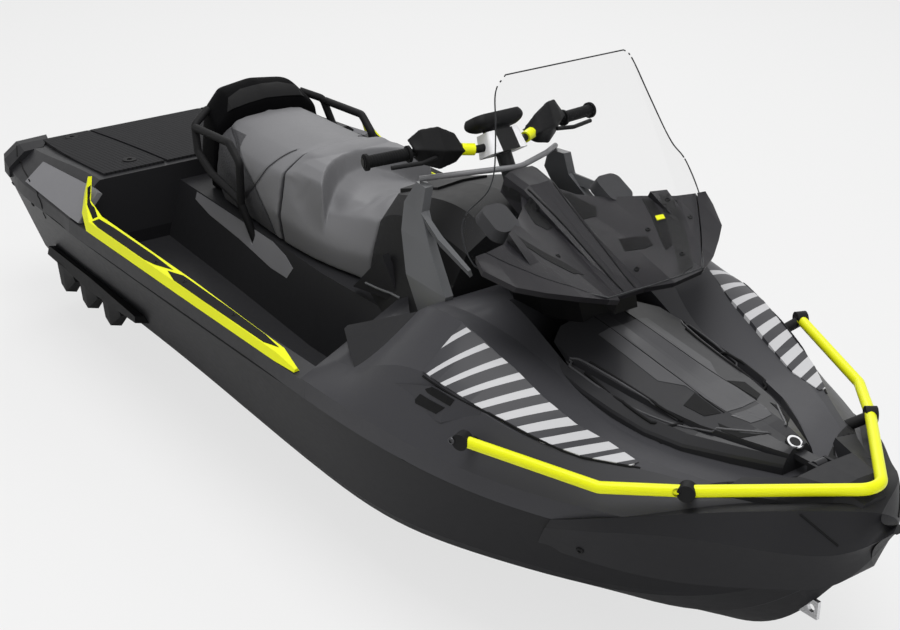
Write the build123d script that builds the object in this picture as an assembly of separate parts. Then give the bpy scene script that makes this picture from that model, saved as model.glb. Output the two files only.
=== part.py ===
"""Personal watercraft: a two-piece moulded touring craft with a jet pump.

Millimetres. +X points to the bow, +Y to port, +Z up. The origin is on the centreline
amidships, at the waterline. The lines below are drawn from the stern (x) and from the
keel (z) on a craft of the drawn length and beam, and at() stretches them to the real size.
Stern gear keeps its true size: aft() measures it from the transom without stretching.
"""
import os
from math import cos, radians, sin

from build123d import *

# Overall sizes
LENGTH = 3708.0
BEAM = 1255.0
DRAFT = 270.0             # keel to waterline
DRAWN_LENGTH = 3708.0
DRAWN_BEAM = 1255.0

# Hull and deck
TRANSOM_X = 130.0
PLATFORM_END_X = 720.0    # rear platform stops and the footwells start
FOOTWELL_END_X = 2200.0
GUNWALE_Z = 500.0         # hull-to-deck joint above the keel
GUNWALE_LIP = 4.0         # deck edge stands this far over the hull
COAMING_Z = 560.0         # top of the deck outside the footwells
PEDESTAL_TOP_Z = 600.0    # underside of the seat
SEAT_GAP = 0.3            # resting gap between pieces
SEAT_Z = PEDESTAL_TOP_Z + SEAT_GAP
MAT_THICK = 9.0

# Half width at the gunwale: x from the stern, y
GUNWALE = [(20, 545), (130, 580), (350, 606), (600, 621), (900, 626), (1300, 627), (2200, 627),
           (2400, 624), (2600, 610), (2800, 580), (3000, 522), (3200, 430), (3400, 305),
           (3560, 160), (3640, 62)]

# Engine and jet pump
ENGINE = (680.0, 400.0, 410.0)
ENGINE_X = 1320.0         # rear face of the engine
ENGINE_FLOOR_Z = 120.0
ENGINE_ROOM = 20.0
SHAFT_Z = 150.0           # height of the pump axis
SHAFT_R = 14.0
PUMP_BORE_R = 79.0
PUMP_WALL = 8.0
PUMP_REAR_X = 385.0
PUMP_FRONT_X = 640.0
STATOR_FRONT_X = 515.0    # stator vanes end and the impeller starts
IMPELLER_CLEARANCE = 3.0
IMPELLER_HUB_R = 30.0
STATOR_VANES = 7
IMPELLER_BLADES = 4
BLADE_THICK = 5.0
NOZZLE_PIVOT_X = 360.0
NOZZLE_ENTRY_R = 64.0
NOZZLE_EXIT_R = 43.0
NOZZLE_WALL = 6.0
NOZZLE_LENGTH = 135.0
BUCKET_R = 165.0
BUCKET_HALF_WIDTH = 108.0
BUCKET_WALL = 6.0
TUNNEL_CLEARANCE = 16.0
TUNNEL_HALF_WIDTH = BUCKET_HALF_WIDTH + BUCKET_WALL + TUNNEL_CLEARANCE
TUNNEL_ROOF_Z = 345.0
PLATE_Z = 30.0            # underside of the ride plate
PLATE_THICK = 12.0
PIN_R = 6.0
PIN_GAP = 0.3

# Steering
BAR_R = 11.0
GRIP_R = 17.0
COLUMN_R = 22.0
STEERING_X = 2262.0       # where the column axis meets the bar
STEERING_Z = 1108.0
STEERING_TILT = 30.0      # column leans this far back from upright

# Windshield: a flat centre and two wings that sweep back from the bends
SCREEN_THICK = 5.0
SCREEN_TOP = (2529.0, 208.0, 1397.0)     # bend line at the top
SCREEN_FOOT = (2900.0, 160.0, 915.0)     # bend line at the bottom
SCREEN_SWEEP = 0.87                      # how far back a wing runs for each unit outward

# Rails and fittings
BOW_RAIL_R = 14.5
CLAMP_WALL = 7.0
HANDLE_R = 13.0
HOOD_HINGE = (3466.0, 656.0)             # x and z of the front lid's pin
LADDER_R = 11.0
LADDER_HINGE_Z = 200.0
EYE_HOLE_R = 11.0
EYE_PLATE = 10.0
ANCHOR_SOCKET_R = 9.0
ANCHOR_SOCKET_DEPTH = 16.0


def at(x, y, z):
    """Drawn position (from stern, centreline, keel) to the craft's own frame."""
    return (x * LENGTH / DRAWN_LENGTH - LENGTH / 2, y * BEAM / DRAWN_BEAM, z - DRAFT)


def aft(x, y, z):
    """Position of stern gear, at its true distance from the transom and the centreline."""
    return (at(TRANSOM_X, 0, 0)[0] + x - TRANSOM_X, y, z - DRAFT)


def between(table, x):
    """Value of a drawn line at x, straight between its points."""
    for (x0, y0), (x1, y1) in zip(table, table[1:]):
        if x <= x1:
            return y0 + (y1 - y0) * (x - x0) / (x1 - x0)
    return table[-1][1]


def outline(axis, place, points, to=at):
    """Closed face square to an axis at the drawn place, from points in the other two axes."""
    if axis == "x":
        corners = [to(place, a, b) for a, b in points]
    elif axis == "y":
        corners = [to(a, place, b) for a, b in points]
    else:
        corners = [to(a, b, place) for a, b in points]
    return make_face(Polyline(*corners, close=True))


def section(x, half, to=at):
    """Closed cross-section at x from one side's (y, z) points, keel to crown."""
    other = [(-y, z) for y, z in reversed(half) if y > 0]
    return outline("x", x, list(half) + other, to)


def skin(stations, ruled=False, to=at):
    """Body through symmetric cross-sections that all have the same number of corners."""
    return loft([section(x, half, to) for x, half in stations], ruled=ruled)


def facets(axis, stations):
    """Crisp moulded piece with straight lines between its outlines along an axis."""
    return loft([outline(axis, place, points) for place, points in stations], ruled=True)


def both_sides(solid):
    return solid + mirror(solid, about=Plane.XZ)


def together(solids):
    """Solids that share a node without touching."""
    return Compound(children=list(solids))


def block(x0, x1, y0, y1, z0, z1, to=at):
    """Box between two drawn corners."""
    low, high = to(x0, y0, z0), to(x1, y1, z1)
    size = [high[i] - low[i] for i in range(3)]
    middle = [(high[i] + low[i]) / 2 for i in range(3)]
    return Pos(*middle) * Box(*size)


def rod(start, end, radius, to=at):
    """Round bar between two drawn points."""
    a, b = Vector(*to(*start)), Vector(*to(*end))
    plane = Plane(origin=a, z_dir=b - a)
    return extrude(plane * Circle(radius), (b - a).length)


def tube_path(points, bend, radius, to=at):
    """Round bar bent through drawn points."""
    path = FilletPolyline(*[to(*p) for p in points], radius=bend)
    start = Plane(origin=path @ 0, z_dir=path % 0)
    return sweep(start * Circle(radius), path=path)


def cross_rod(x, y0, y1, z, radius):
    """Round bar of the stern gear that lies across the craft."""
    return rod((x, y0, z), (x, y1, z), radius, aft)


# ---------------------------------------------------------------- hull and deck

def hull_body():
    """Stepped V hull, cut square at the transom."""
    lines = [
        # x, keel z, chine (y, z)
        (TRANSOM_X, 0, 468, 205),
        (350, 0, 478, 205),
        (600, 0, 484, 205),
        (900, 0, 490, 205),
        (1300, 0, 500, 205),
        (1800, 0, 528, 212),
        (2200, 0, 552, 224),
        (2400, 2, 558, 234),
        (2600, 12, 548, 250),
        (2800, 30, 512, 272),
        (3000, 56, 442, 286),
        (3200, 92, 340, 298),
        (3400, 190, 200, 345),
        (3560, 385, 70, 440),
        (3608, 436, 40, 462),
    ]
    stations = []
    for x, keel, chine_y, chine_z in lines:
        rise = (chine_z - keel) / chine_y
        strake = 0.52 * chine_y
        step = 0.05 * chine_y
        stations.append((x, [
            (0, keel),
            (strake, keel + rise * strake - step * 0.3),
            (strake + step, keel + rise * strake),
            (chine_y, chine_z),
            (chine_y + step * 0.6, chine_z + step),
            (between(GUNWALE, x), GUNWALE_Z),
            (0, GUNWALE_Z)]))
    return skin(stations)


def rear_deck_body():
    """Flat cargo deck over the stern, with sides that fall to the gunwale."""
    stations = []
    for x, edge, top in [(20, 468, 598), (150, 486, 610), (400, 496, 638), (PLATFORM_END_X, 500, 662)]:
        gunwale = between(GUNWALE, x)
        stations.append((x, [
            (0, 450), (gunwale - 90, 450), (gunwale - 90, GUNWALE_Z), (gunwale + GUNWALE_LIP, GUNWALE_Z),
            (gunwale, COAMING_Z - 15), (edge + 18, top - 14), (edge, top), (0, top)]))
    return skin(stations)


def mid_deck_body():
    """Seat pedestal between two footwells."""
    stations = []
    for x, floor, foot_y, top_y in [(PLATFORM_END_X - 2, 405, 258, 200), (1220, 392, 280, 222),
                                    (1720, 368, 300, 252), (FOOTWELL_END_X + 20, 374, 306, 250)]:
        gunwale = between(GUNWALE, x)
        stations.append((x, [
            (0, 330), (gunwale - 95, 330), (gunwale - 50, GUNWALE_Z), (gunwale + GUNWALE_LIP, GUNWALE_Z),
            (gunwale, COAMING_Z - 12), (gunwale - 62, COAMING_Z), (gunwale - 98, floor), (foot_y, floor),
            (top_y, PEDESTAL_TOP_Z), (0, PEDESTAL_TOP_Z)]))
    return skin(stations, ruled=True)


def footwell_space():
    """What the hull gives up inside the deck moulding along the footwells."""
    reach = between(GUNWALE, FOOTWELL_END_X) - 98
    cut = [(0, 331), (reach, 360), (reach + 36, COAMING_Z), (0, COAMING_Z)]
    return skin([(PLATFORM_END_X, cut), (FOOTWELL_END_X + 18, cut)])


def front_deck_body():
    """Fenders that rise beside the console and run down round the hood to the bow."""
    lines = [
        # x, underside z, shoulder (y, z), fender top (y, z), hood edge (y, z)
        (FOOTWELL_END_X, 440, 540, 590, 400, 655, 306, 700),
        (2400, 440, 538, 640, 378, 758, 330, 765),
        (2600, 440, 533, 712, 402, 816, 316, 790),
        (2800, 440, 509, 692, 372, 740, 246, 704),
        (3000, 440, 447, 650, 345, 666, 240, 648),
        (3200, 456, 326, 634, 290, 640, 196, 630),
        (3400, 480, 215, 616, 185, 618, 92, 616),
        (3560, 494, 112, 604, 92, 606, 60, 606),
        (3608, 496, 72, 600, 58, 602, 36, 604),
    ]
    stations = []
    for x, under, shoulder_y, shoulder_z, top_y, top_z, edge_y, edge_z in lines:
        gunwale = between(GUNWALE, x)
        inset = 0.86 * gunwale
        stations.append((x, [
            (0, under), (inset, under), (inset, GUNWALE_Z), (gunwale + GUNWALE_LIP, GUNWALE_Z),
            (gunwale, COAMING_Z - 8), (shoulder_y, shoulder_z), (top_y, top_z), (edge_y, edge_z),
            (0, edge_z)]))
    return skin(stations)


def storage_bin():
    """Space of the front storage bin, open at the top."""
    return block(2560, 3150, -200, 200, 330, 860)


def engine_bay():
    length, width, height = ENGINE
    return block(ENGINE_X - ENGINE_ROOM, ENGINE_X + length + ENGINE_ROOM, -width / 2 - ENGINE_ROOM,
                 width / 2 + ENGINE_ROOM, ENGINE_FLOOR_Z, ENGINE_FLOOR_Z + height + ENGINE_ROOM, aft)


def engine():
    length, width, height = ENGINE
    return block(ENGINE_X, ENGINE_X + length, -width / 2, width / 2,
                 ENGINE_FLOOR_Z, ENGINE_FLOOR_Z + height, aft)


def glovebox_space():
    return block(1925, 2070, -70, 70, 760, 1000)


def pump_tunnel():
    return block(-50, PUMP_FRONT_X, -TUNNEL_HALF_WIDTH, TUNNEL_HALF_WIDTH, -50, TUNNEL_ROOF_Z, aft)


def intake_duct():
    """Duct that climbs from the hull's underside to the pump."""
    stations = []
    for x, low, high in [(PUMP_FRONT_X - 1, 72, 228), (900, 10, 212), (1120, -70, 130), (1300, -140, 24)]:
        stations.append((x, [(0, low), (PUMP_BORE_R, low), (PUMP_BORE_R, high), (0, high)]))
    return skin(stations, to=aft)


def shaft_bore():
    return rod((PUMP_FRONT_X, 0, SHAFT_Z), (ENGINE_X, 0, SHAFT_Z), SHAFT_R + 4, aft)


# ---------------------------------------------------------------- deck fittings

def side_panel():
    """Contrast panel below the rear platform edge, port side."""
    stations = []
    for x, edge, top in [(300, 494, 630), (PLATFORM_END_X, 504, 662), (PLATFORM_END_X + 70, 512, 664)]:
        low_y = between(GUNWALE, x) - 2
        stations.append((x, [(low_y, 556), (edge + 30, top - 16), (edge + 14, top - 26), (low_y - 18, 550)]))
    return facets("x", stations)


def footwell_rail():
    """Coloured edge guard along the footwell that turns up at the platform corner, port side."""
    arm = facets("x", [
        (745, [(570, 640), (552, 692), (538, 690), (556, 636)]),
        (792, [(606, 590), (590, 628), (570, 624), (586, 584)]),
        (860, [(626, 551), (614, 580), (566, 588), (566, 553)])])
    sill = facets("x", [
        (858, [(626, 551), (614, 580), (566, 588), (566, 553)]),
        (1500, [(628, 550), (616, 576), (574, 584), (568, 553)]),
        (2060, [(628, 550), (618, 572), (592, 578), (580, 553)]),
        (2160, [(624, 552), (620, 560), (612, 562), (606, 553)])])
    return arm + sill


def platform_mat():
    """Grip mat on the rear platform with a centre lane and two side lanes."""
    mat = skin([(60, [(0, 590), (420, 590), (420, 604 + MAT_THICK), (0, 604 + MAT_THICK)]),
                (400, [(0, 620), (462, 620), (462, 638 + MAT_THICK), (0, 638 + MAT_THICK)]),
                (690, [(0, 640), (470, 640), (470, 661 + MAT_THICK), (0, 661 + MAT_THICK)])])
    for y in (-235, 235):
        mat -= block(40, 710, y - 6, y + 6, 560, 720)
    return mat


def front_seat():
    """Rider's seat: the bolster behind, the hollow and the nose that narrows to the console."""
    stations = [(1440, [(0, SEAT_Z), (226, SEAT_Z), (240, 700), (214, 836), (134, 882), (0, 888)]),
                (1550, [(0, SEAT_Z), (228, SEAT_Z), (240, 690), (214, 828), (134, 872), (0, 874)]),
                (1660, [(0, SEAT_Z), (222, SEAT_Z), (230, 680), (196, 786), (116, 804), (0, 800)]),
                (1770, [(0, SEAT_Z), (206, SEAT_Z), (212, 680), (170, 784), (98, 810), (0, 812)]),
                (1880, [(0, SEAT_Z), (180, SEAT_Z), (182, 700), (148, 806), (84, 838), (0, 842)])]
    return skin(stations)


def rear_seat():
    stations = [(1000, [(0, SEAT_Z), (186, SEAT_Z), (216, 700), (196, 832), (120, 884), (0, 894)]),
                (1146, [(0, SEAT_Z), (198, SEAT_Z), (226, 700), (204, 828), (124, 876), (0, 884)]),
                (1292, [(0, SEAT_Z), (212, SEAT_Z), (234, 700), (210, 826), (130, 872), (0, 878)]),
                (1438, [(0, SEAT_Z), (226, SEAT_Z), (240, 700), (214, 834), (134, 880), (0, 886)])]
    return skin(stations)


def seat_rear_cap():
    """Backrest hump behind the passenger, falling forward to the cushion."""
    stations = [(838, [(0, 662), (150, 662), (172, 720), (150, 872), (96, 932), (0, 944)]),
                (890, [(0, 662), (168, 662), (192, 720), (178, 890), (120, 956), (0, 972)]),
                (944, [(0, 662), (178, 662), (204, 720), (190, 888), (130, 952), (0, 968)]),
                (998, [(0, 662), (186, 662), (212, 720), (196, 858), (132, 914), (0, 926)])]
    cap = skin(stations)
    return cap + block(850, 998, -150, 150, SEAT_Z, 670)


def console():
    """Tower between the seat and the handlebar."""
    stations = [(1890, [(0, 602), (200, 602), (180, 700), (150, 800), (84, 872), (0, 880)]),
                (2060, [(0, 602), (262, 602), (226, 760), (196, 880), (150, 930), (0, 940)]),
                (2230, [(0, 650), (296, 650), (246, 780), (216, 900), (150, 960), (0, 972)]),
                (2400, [(0, 762), (300, 762), (262, 800), (220, 880), (150, 920), (0, 960)])]
    return skin(stations)


def glovebox_lid(gap=0.0):
    stations = []
    for x, crown in [(1904 - gap, 885), (2090 + gap, 944)]:
        low, high, edge = crown - gap, crown + 12, 88 + gap
        stations.append((x, [(0, low), (edge, low - 6), (edge, high - 6), (0, high)]))
    return skin(stations)


def console_frame():
    """Bright frame that climbs from the fender to the dash rim, port side."""
    depth = 26
    layers = []
    for z, rear, front, y in [(700, 2330, 2440, 328), (800, 2258, 2452, 322), (900, 2192, 2336, 290),
                              (970, 2170, 2266, 264), (1034, 2206, 2262, 248)]:
        layers.append((z, [(rear, y - 4), (front, y + 6), (front, y + 6 - depth), (rear, y - 4 - depth)]))
    band = facets("z", layers)
    brace = facets("x", [
        (2260, [(256, 972), (270, 968), (264, 940), (250, 944)]),
        (2400, [(300, 952), (314, 946), (306, 922), (292, 928)]),
        (2590, [(350, 934), (358, 930), (352, 912), (344, 916)])])
    return band + brace


def dash_rim():
    """Bright rim over the dash that joins the two frames ahead of the steering column."""
    return tube_path([(2212, 238, 1042), (2280, 150, 1058), (2348, 0, 1066), (2280, -150, 1058),
                      (2212, -238, 1042)], 60, 8)


def knee_deflector():
    """Angular wind deflector at the front of the footwell, port side."""
    stations = []
    for x, top_y, top_z, low_y, low_z in [(2150, 440, 640, 452, 632), (2345, 389, 730, 540, 585),
                                          (2420, 370, 765, 534, 616), (2548, 400, 815, 524, 670),
                                          (2606, 512, 704, 520, 696)]:
        stations.append((x, [(low_y, low_z), (top_y, top_z), (top_y - 14, top_z - 16),
                             (low_y - 14, low_z - 16)]))
    return facets("x", stations)


def side_frame():
    """Triangular frame that fills the corner between the seat, the console and the deflector."""
    return facets("y", [
        (232, [(1890, 628), (2050, 772), (2130, 668), (2124, 655)]),
        (258, [(1900, 622), (2056, 772), (2136, 664), (2128, 650)])])


def fender_panel():
    """Raised panel along the fender, port side."""
    return facets("x", [
        (2632, [(532, 720), (408, 816), (402, 806), (524, 706)]),
        (2690, [(529, 714), (394, 789), (388, 777), (521, 702)]),
        (2800, [(510, 697), (370, 745), (366, 732), (503, 684)]),
        (2900, [(481, 675), (362, 706), (358, 694), (476, 662)]),
        (3000, [(447, 654), (342, 670), (340, 658), (443, 642)]),
        (3096, [(399, 642), (314, 651), (312, 640), (396, 630)]),
        (3190, [(333, 639), (310, 641), (309, 632), (331, 628)])])


def fender_vent():
    """Dark louvred vent in the deck side below the fender panel, port side."""
    stations = []
    for x, top_y, top_z, low_y, low_z in [(2490, 562, 640, 566, 630), (2690, 541, 702, 558, 625),
                                          (2742, 529, 696, 553, 628), (2836, 500, 682, 503, 676)]:
        stations.append((x, [(low_y + 4, low_z), (top_y + 4, top_z + 2), (top_y - 16, top_z - 8),
                             (low_y - 16, low_z - 8)]))
    return facets("x", stations)


# ---------------------------------------------------------------- front lid, fairing and screen

def hood():
    """Gloss hood: a crest with two side planes, and a stepped blade below a groove on each side."""
    lines = [
        # x, crest (y, z), plane foot (y, z), blade (y, z), rim (y, z)
        (2690, 45, 774, 180, 744, 198, 732, 226, 722),
        (2792, 48, 760, 192, 726, 208, 714, 232, 702),
        (2894, 48, 744, 174, 712, 206, 700, 232, 684),
        (2996, 45, 728, 160, 700, 200, 690, 226, 670),
        (3098, 44, 714, 144, 690, 188, 678, 212, 656),
        (3200, 48, 702, 122, 682, 160, 670, 182, 650),
        (3302, 40, 692, 82, 676, 106, 666, 122, 648),
        (3404, 22, 678, 34, 666, 42, 658, 52, 642),
    ]
    stations = []
    for x, crest_y, crest_z, foot_y, foot_z, blade_y, blade_z, rim_y, rim_z in lines:
        stations.append((x, [
            (0, rim_z - 40), (rim_y, rim_z - 40), (rim_y, rim_z - 8), (rim_y - 3, rim_z),
            (blade_y, blade_z), (blade_y - 5, blade_z - 16), (foot_y + 2, foot_z - 16), (foot_y, foot_z),
            (crest_y, crest_z), (0, crest_z - 4)]))
    x, z = HOOD_HINGE
    knuckle = rod((x, -17, z), (x, 17, z), 12) + block(3396, x, -17, 17, z - 9, z + 6)
    return skin(stations, ruled=True) + knuckle - rod((x, -30, z), (x, 30, z), PIN_R + PIN_GAP)


def fairing_panels():
    """Two lobes that rise from a notch at the centre and sweep back to the wing tips."""
    deep = 16
    stations = []
    for y, rear_x, rear_z, front_x, front_z in [
            (-392, 2664, 1004, 2696, 976), (-350, 2662, 1006, 2774, 949), (-294, 2650, 1008, 2820, 936),
            (-222, 2590, 1006, 2874, 925), (-160, 2532, 998, 2902, 912), (-94, 2476, 1004, 2868, 881),
            (-48, 2410, 1022, 2810, 858), (48, 2410, 1022, 2810, 858), (94, 2476, 1004, 2868, 881),
            (160, 2532, 998, 2902, 912), (222, 2590, 1006, 2874, 925), (294, 2650, 1008, 2820, 936),
            (350, 2662, 1006, 2774, 949), (392, 2664, 1004, 2696, 976)]:
        stations.append((y, [(rear_x, rear_z), (front_x, front_z), (front_x - 8, front_z - deep),
                             (rear_x, rear_z - deep)]))
    return facets("y", stations)


def fairing():
    spine = skin([(2352, [(0, 1010), (70, 1010), (56, 1052), (38, 1062), (0, 1064)]),
                  (2430, [(0, 960), (62, 960), (52, 1034), (34, 1044), (0, 1042)]),
                  (2600, [(0, 880), (52, 880), (42, 952), (26, 960), (0, 954)]),
                  (2792, [(0, 800), (40, 800), (28, 858), (16, 864), (0, 860)])], ruled=True)
    plinth = skin([(2480, [(0, 790), (150, 790), (150, 940), (60, 980), (0, 980)]),
                   (2560, [(0, 776), (180, 776), (220, 950), (80, 925), (0, 925)]),
                   (2640, [(0, 768), (150, 768), (200, 930), (70, 888), (0, 888)]),
                   (2720, [(0, 760), (80, 760), (120, 890), (60, 850), (0, 850)])], ruled=True)
    posts = both_sides(facets("y", [(236, [(2600, 1000), (2760, 940), (2760, 952), (2612, 1022)]),
                                    (270, [(2630, 1000), (2760, 940), (2760, 952), (2640, 1028)])]))
    return fairing_panels() + spine + plinth + posts


def mirror_pod():
    """Shallow housing of the rear-view mirror on the dash, port side."""
    tilt = Plane(origin=at(2500, 196, 985), x_dir=(0, 1, 0), z_dir=(0.45, 0.0, 0.9))
    return extrude(tilt * RectangleRounded(96, 116, 34), 34, taper=14)


def screen_line(z):
    """x and y of the windshield's bend at a height."""
    (x0, y0, z0), (x1, y1, z1) = SCREEN_TOP, SCREEN_FOOT
    share = (z - z0) / (z1 - z0)
    return x0 + (x1 - x0) * share, y0 + (y1 - y0) * share


def windshield():
    """Clear sheet cut to a tall rounded outline that flares low down into wings."""
    layers = []
    reach = 460
    for z in (880, 1420):
        x, bend = screen_line(z)
        tip = x - SCREEN_SWEEP * (reach - bend)
        front = [(tip, -reach), (x, -bend), (x, bend), (tip, reach)]
        back = [(px - SCREEN_THICK, py) for px, py in reversed(front)]
        layers.append((z, front + back))
    sheet = facets("z", layers)
    top_z = SCREEN_TOP[2]
    side = [(196, top_z), (222, top_z - 22), (246, 1312), (268, 1240), (288, 1183), (314, 1139),
            (346, 1110), (372, 1085), (388, 1052), (394, 1006), (388, 974)]
    foot = [(350, 952), (222, 929), (160, 916), (0, 914)]
    port = [at(0, y, z)[1:] for y, z in side + foot]
    edge = Spline(*port[:len(side)])
    lower = Polyline(*port[len(side) - 1:])
    half = [edge, lower, Line(port[-1], (0, port[0][1])), Line((0, port[0][1]), port[0])]
    cut = extrude(Plane.YZ.offset(-LENGTH) * make_face(half), 2 * LENGTH)
    return sheet & both_sides(cut)


def nose_disc():
    plane = Plane(origin=at(3386, 0, 676), z_dir=(sin(radians(24)), 0, cos(radians(24))))
    return extrude(plane * Circle(23), 6)


# ---------------------------------------------------------------- steering

def column_plane():
    tilt = radians(STEERING_TILT)
    return Plane(origin=at(STEERING_X, 0, STEERING_Z), x_dir=(0, 1, 0), z_dir=(-sin(tilt), 0, cos(tilt)))


def steering_column():
    column = extrude(column_plane() * Circle(COLUMN_R), -150)
    bar = tube_path([(2177, -398, 1111), (2215, -200, 1120), (2262, -80, 1108), (2262, 80, 1108),
                     (2215, 200, 1120), (2177, 398, 1111)], 40, BAR_R)
    return column + bar


def column_room():
    return extrude(column_plane() * Circle(COLUMN_R + PIN_GAP), -170)


def steering_cover():
    """Bright shell over the bar's centre, with two shoulders along the bar."""
    plane = column_plane()
    body = extrude(plane.offset(-26) * RectangleRounded(128, 84, 20), 62, taper=10)
    return body - steering_column()


def gauge_pod():
    """Wide display housing above the cover, tilted towards the rider."""
    plane = column_plane()
    neck = extrude(plane.offset(30) * RectangleRounded(70, 50, 12), 20)
    shell = loft([plane.offset(44) * RectangleRounded(120, 56, 20), plane.offset(66) * RectangleRounded(164, 92, 26),
                  plane.offset(84) * RectangleRounded(150, 84, 26)])
    return neck + shell


def grip():
    """Ribbed grip with an end flange, port side."""
    inner, outer = (2206, 262, 1117), (2180, 396, 1111)
    body = rod(inner, outer, GRIP_R)
    for share in (0.02, 0.92):
        start = [a + (b - a) * share for a, b in zip(inner, outer)]
        stop = [a + (b - a) * (share + 0.06) for a, b in zip(inner, outer)]
        body += rod(start, stop, GRIP_R + 6)
    return body - steering_column()


def control_lever():
    """Finger lever in front of the grip, port side."""
    return tube_path([(2250, 210, 1108), (2262, 262, 1106), (2236, 346, 1102)], 20, 6)


def hand_guard():
    """Shield ahead of the rider's hand, port side."""
    stations = []
    for y, x, low, high in [(108, 2256, 1096, 1118), (140, 2268, 1078, 1160), (190, 2262, 1066, 1186),
                            (232, 2240, 1082, 1180), (262, 2222, 1112, 1152)]:
        middle = (low + high) / 2
        stations.append((y, [(x - 22, low), (x + 4, middle), (x - 30, high), (x - 38, high - 2),
                             (x - 8, middle), (x - 30, low + 2)]))
    shield = facets("y", stations)
    stalk = rod((2214, 206, 1118), (2250, 206, 1120), 9)
    return shield + stalk


# ---------------------------------------------------------------- bow and stern fittings

def bow_bumper():
    """Dark nose moulding that wraps the hull's side from the bow, with a crease along it."""
    lines = [
        # x, foot (y, z), crease (y, z), top (y, z)
        (2934, 500, 384, 546, 436, 552, 470),
        (3020, 470, 385, 514, 452, 520, 488),
        (3106, 436, 386, 476, 476, 484, 505),
        (3192, 400, 386, 446, 500, 446, 536),
        (3278, 356, 388, 402, 522, 388, 562),
        (3364, 300, 392, 352, 538, 328, 590),
        (3450, 226, 398, 296, 544, 256, 612),
        (3536, 140, 404, 222, 538, 178, 628),
        (3622, 40, 446, 116, 532, 84, 636),
        (3708, 8, 590, 20, 598, 12, 612),
    ]
    stations = []
    for x, foot_y, foot_z, crease_y, crease_z, top_y, top_z in lines:
        stations.append((x, [(0, foot_z), (foot_y, foot_z), (crease_y, crease_z), (top_y, top_z), (0, top_z)]))
    slanted_end = [(2800, 200), (2908, 200), (3151, 600), (2800, 600)]
    return skin(stations) - facets("y", [(-700, slanted_end), (700, slanted_end)])


def bow_rail():
    """One bent rail round the bow, held by two clamps a side."""
    port = [(2868, 588, 647), (3205, 446, 626), (3354, 312, 640)]
    starboard = [(x, -y, z) for x, y, z in reversed(port)]
    return tube_path(port + [(3650, 0, 676)] + starboard, [30, 30, 55, 30, 30], BOW_RAIL_R)


def rail_clamp(x, y, z, out):
    """Round clamp about the rail with a foot on the deck; out is its outward lean in plan."""
    dx, dy = out
    ring = rod((x - 14 * dx, y - 14 * dy, z), (x + 16 * dx, y + 16 * dy, z), BOW_RAIL_R + CLAMP_WALL)
    foot = rod((x - 64 * dx, y - 64 * dy, z - 36), (x - 2 * dx, y - 2 * dy, z - 6), BOW_RAIL_R)
    return ring + foot


def rail_clamps():
    clamps = []
    for side in (1, -1):
        clamps.append(rail_clamp(2872, side * 586, 647, (0.39, side * 0.92)))
        clamps.append(rail_clamp(3354, side * 312, 640, (0.60, side * 0.80)))
    return clamps


def bow_eye():
    plate = block(3400, 3512, -EYE_PLATE / 2, EYE_PLATE / 2, 250, 300)
    return plate - rod((3492, -20, 275), (3492, 20, 275), EYE_HOLE_R)


def stern_corner():
    """Dark boarding corner at the end of the platform, port side."""
    return facets("x", [(0, [(380, 532), (548, 532), (552, 566), (500, 604), (380, 608)]),
                        (60, [(400, 520), (578, 520), (576, 566), (512, 612), (400, 614)]),
                        (132, [(450, 520), (590, 520), (588, 556), (524, 606), (450, 610)])])


def cargo_anchor(x, y, z):
    post = Pos(*at(x, y, z)) * Cylinder(24, ANCHOR_SOCKET_DEPTH, align=(Align.CENTER, Align.CENTER, Align.MIN))
    hole = Pos(*at(x, y, z)) * Cylinder(ANCHOR_SOCKET_R, 100)
    return post - hole


def cargo_anchors():
    return [cargo_anchor(x, side * 330, z) for x, z in [(120, 606), (600, 652)] for side in (1, -1)]


def stern_eye():
    plate = block(80, TRANSOM_X, 395, 395 + EYE_PLATE, 370, 420, aft)
    return plate - cross_rod(100, 380, 420, 395, EYE_HOLE_R)


def sponson():
    """Side sponson with three hooked ribs along its lower edge, port side."""
    body = facets("x", [
        (330, [(486, 292), (548, 306), (556, 276), (492, 246)]),
        (700, [(490, 296), (560, 310), (566, 262), (496, 232)]),
        (1060, [(500, 284), (572, 300), (572, 276), (506, 256)])])
    for x in (420, 600, 780):
        body += facets("x", [
            (x, [(500, 262), (560, 276), (552, 190), (520, 180)]),
            (x + 46, [(500, 262), (560, 276), (556, 176), (516, 164)]),
            (x + 120, [(500, 260), (560, 272), (548, 236), (520, 232)])])
    return body


def grab_handles():
    """Passenger handles: on each side a loop that leaves the cap and ends low on the pedestal."""
    lower = tube_path([(915, 180, 900), (950, 250, 868), (988, 263, 786), (1075, 263, 736),
                       (1236, 254, 690), (1272, 226, 560)], 26, HANDLE_R)
    upper = tube_path([(960, 254, 862), (1186, 254, 870), (1248, 254, 820), (1240, 252, 680)], 26,
                      HANDLE_R)
    return twins(lower + upper)


def bow_bracket():
    """Angular cover behind the rail's nose, with the hinge pin of the front lid."""
    cover = skin([(3484, [(0, 606), (166, 606), (160, 626), (92, 664), (0, 668)]),
                  (3580, [(0, 604), (96, 604), (92, 622), (60, 668), (0, 672)]),
                  (3632, [(0, 598), (54, 598), (50, 616), (36, 640), (0, 644)])], ruled=True)
    wing = facets("x", [(3376, [(150, 612), (236, 608), (232, 622), (160, 634)]),
                        (3486, [(70, 606), (168, 602), (160, 626), (92, 662)])])
    x, z = HOOD_HINGE
    ear = block(x - 10, x + 30, 22, 30, z - 14, z + 10)
    return cover + both_sides(wing + ear) + rod((x, -24, z), (x, 24, z), PIN_R)


# ---------------------------------------------------------------- jet pump and gear below

def pump_plane(x):
    """Plane across the pump axis at x."""
    return Plane(origin=aft(x, 0, SHAFT_Z), x_dir=(0, 1, 0), z_dir=(1, 0, 0))


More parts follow.
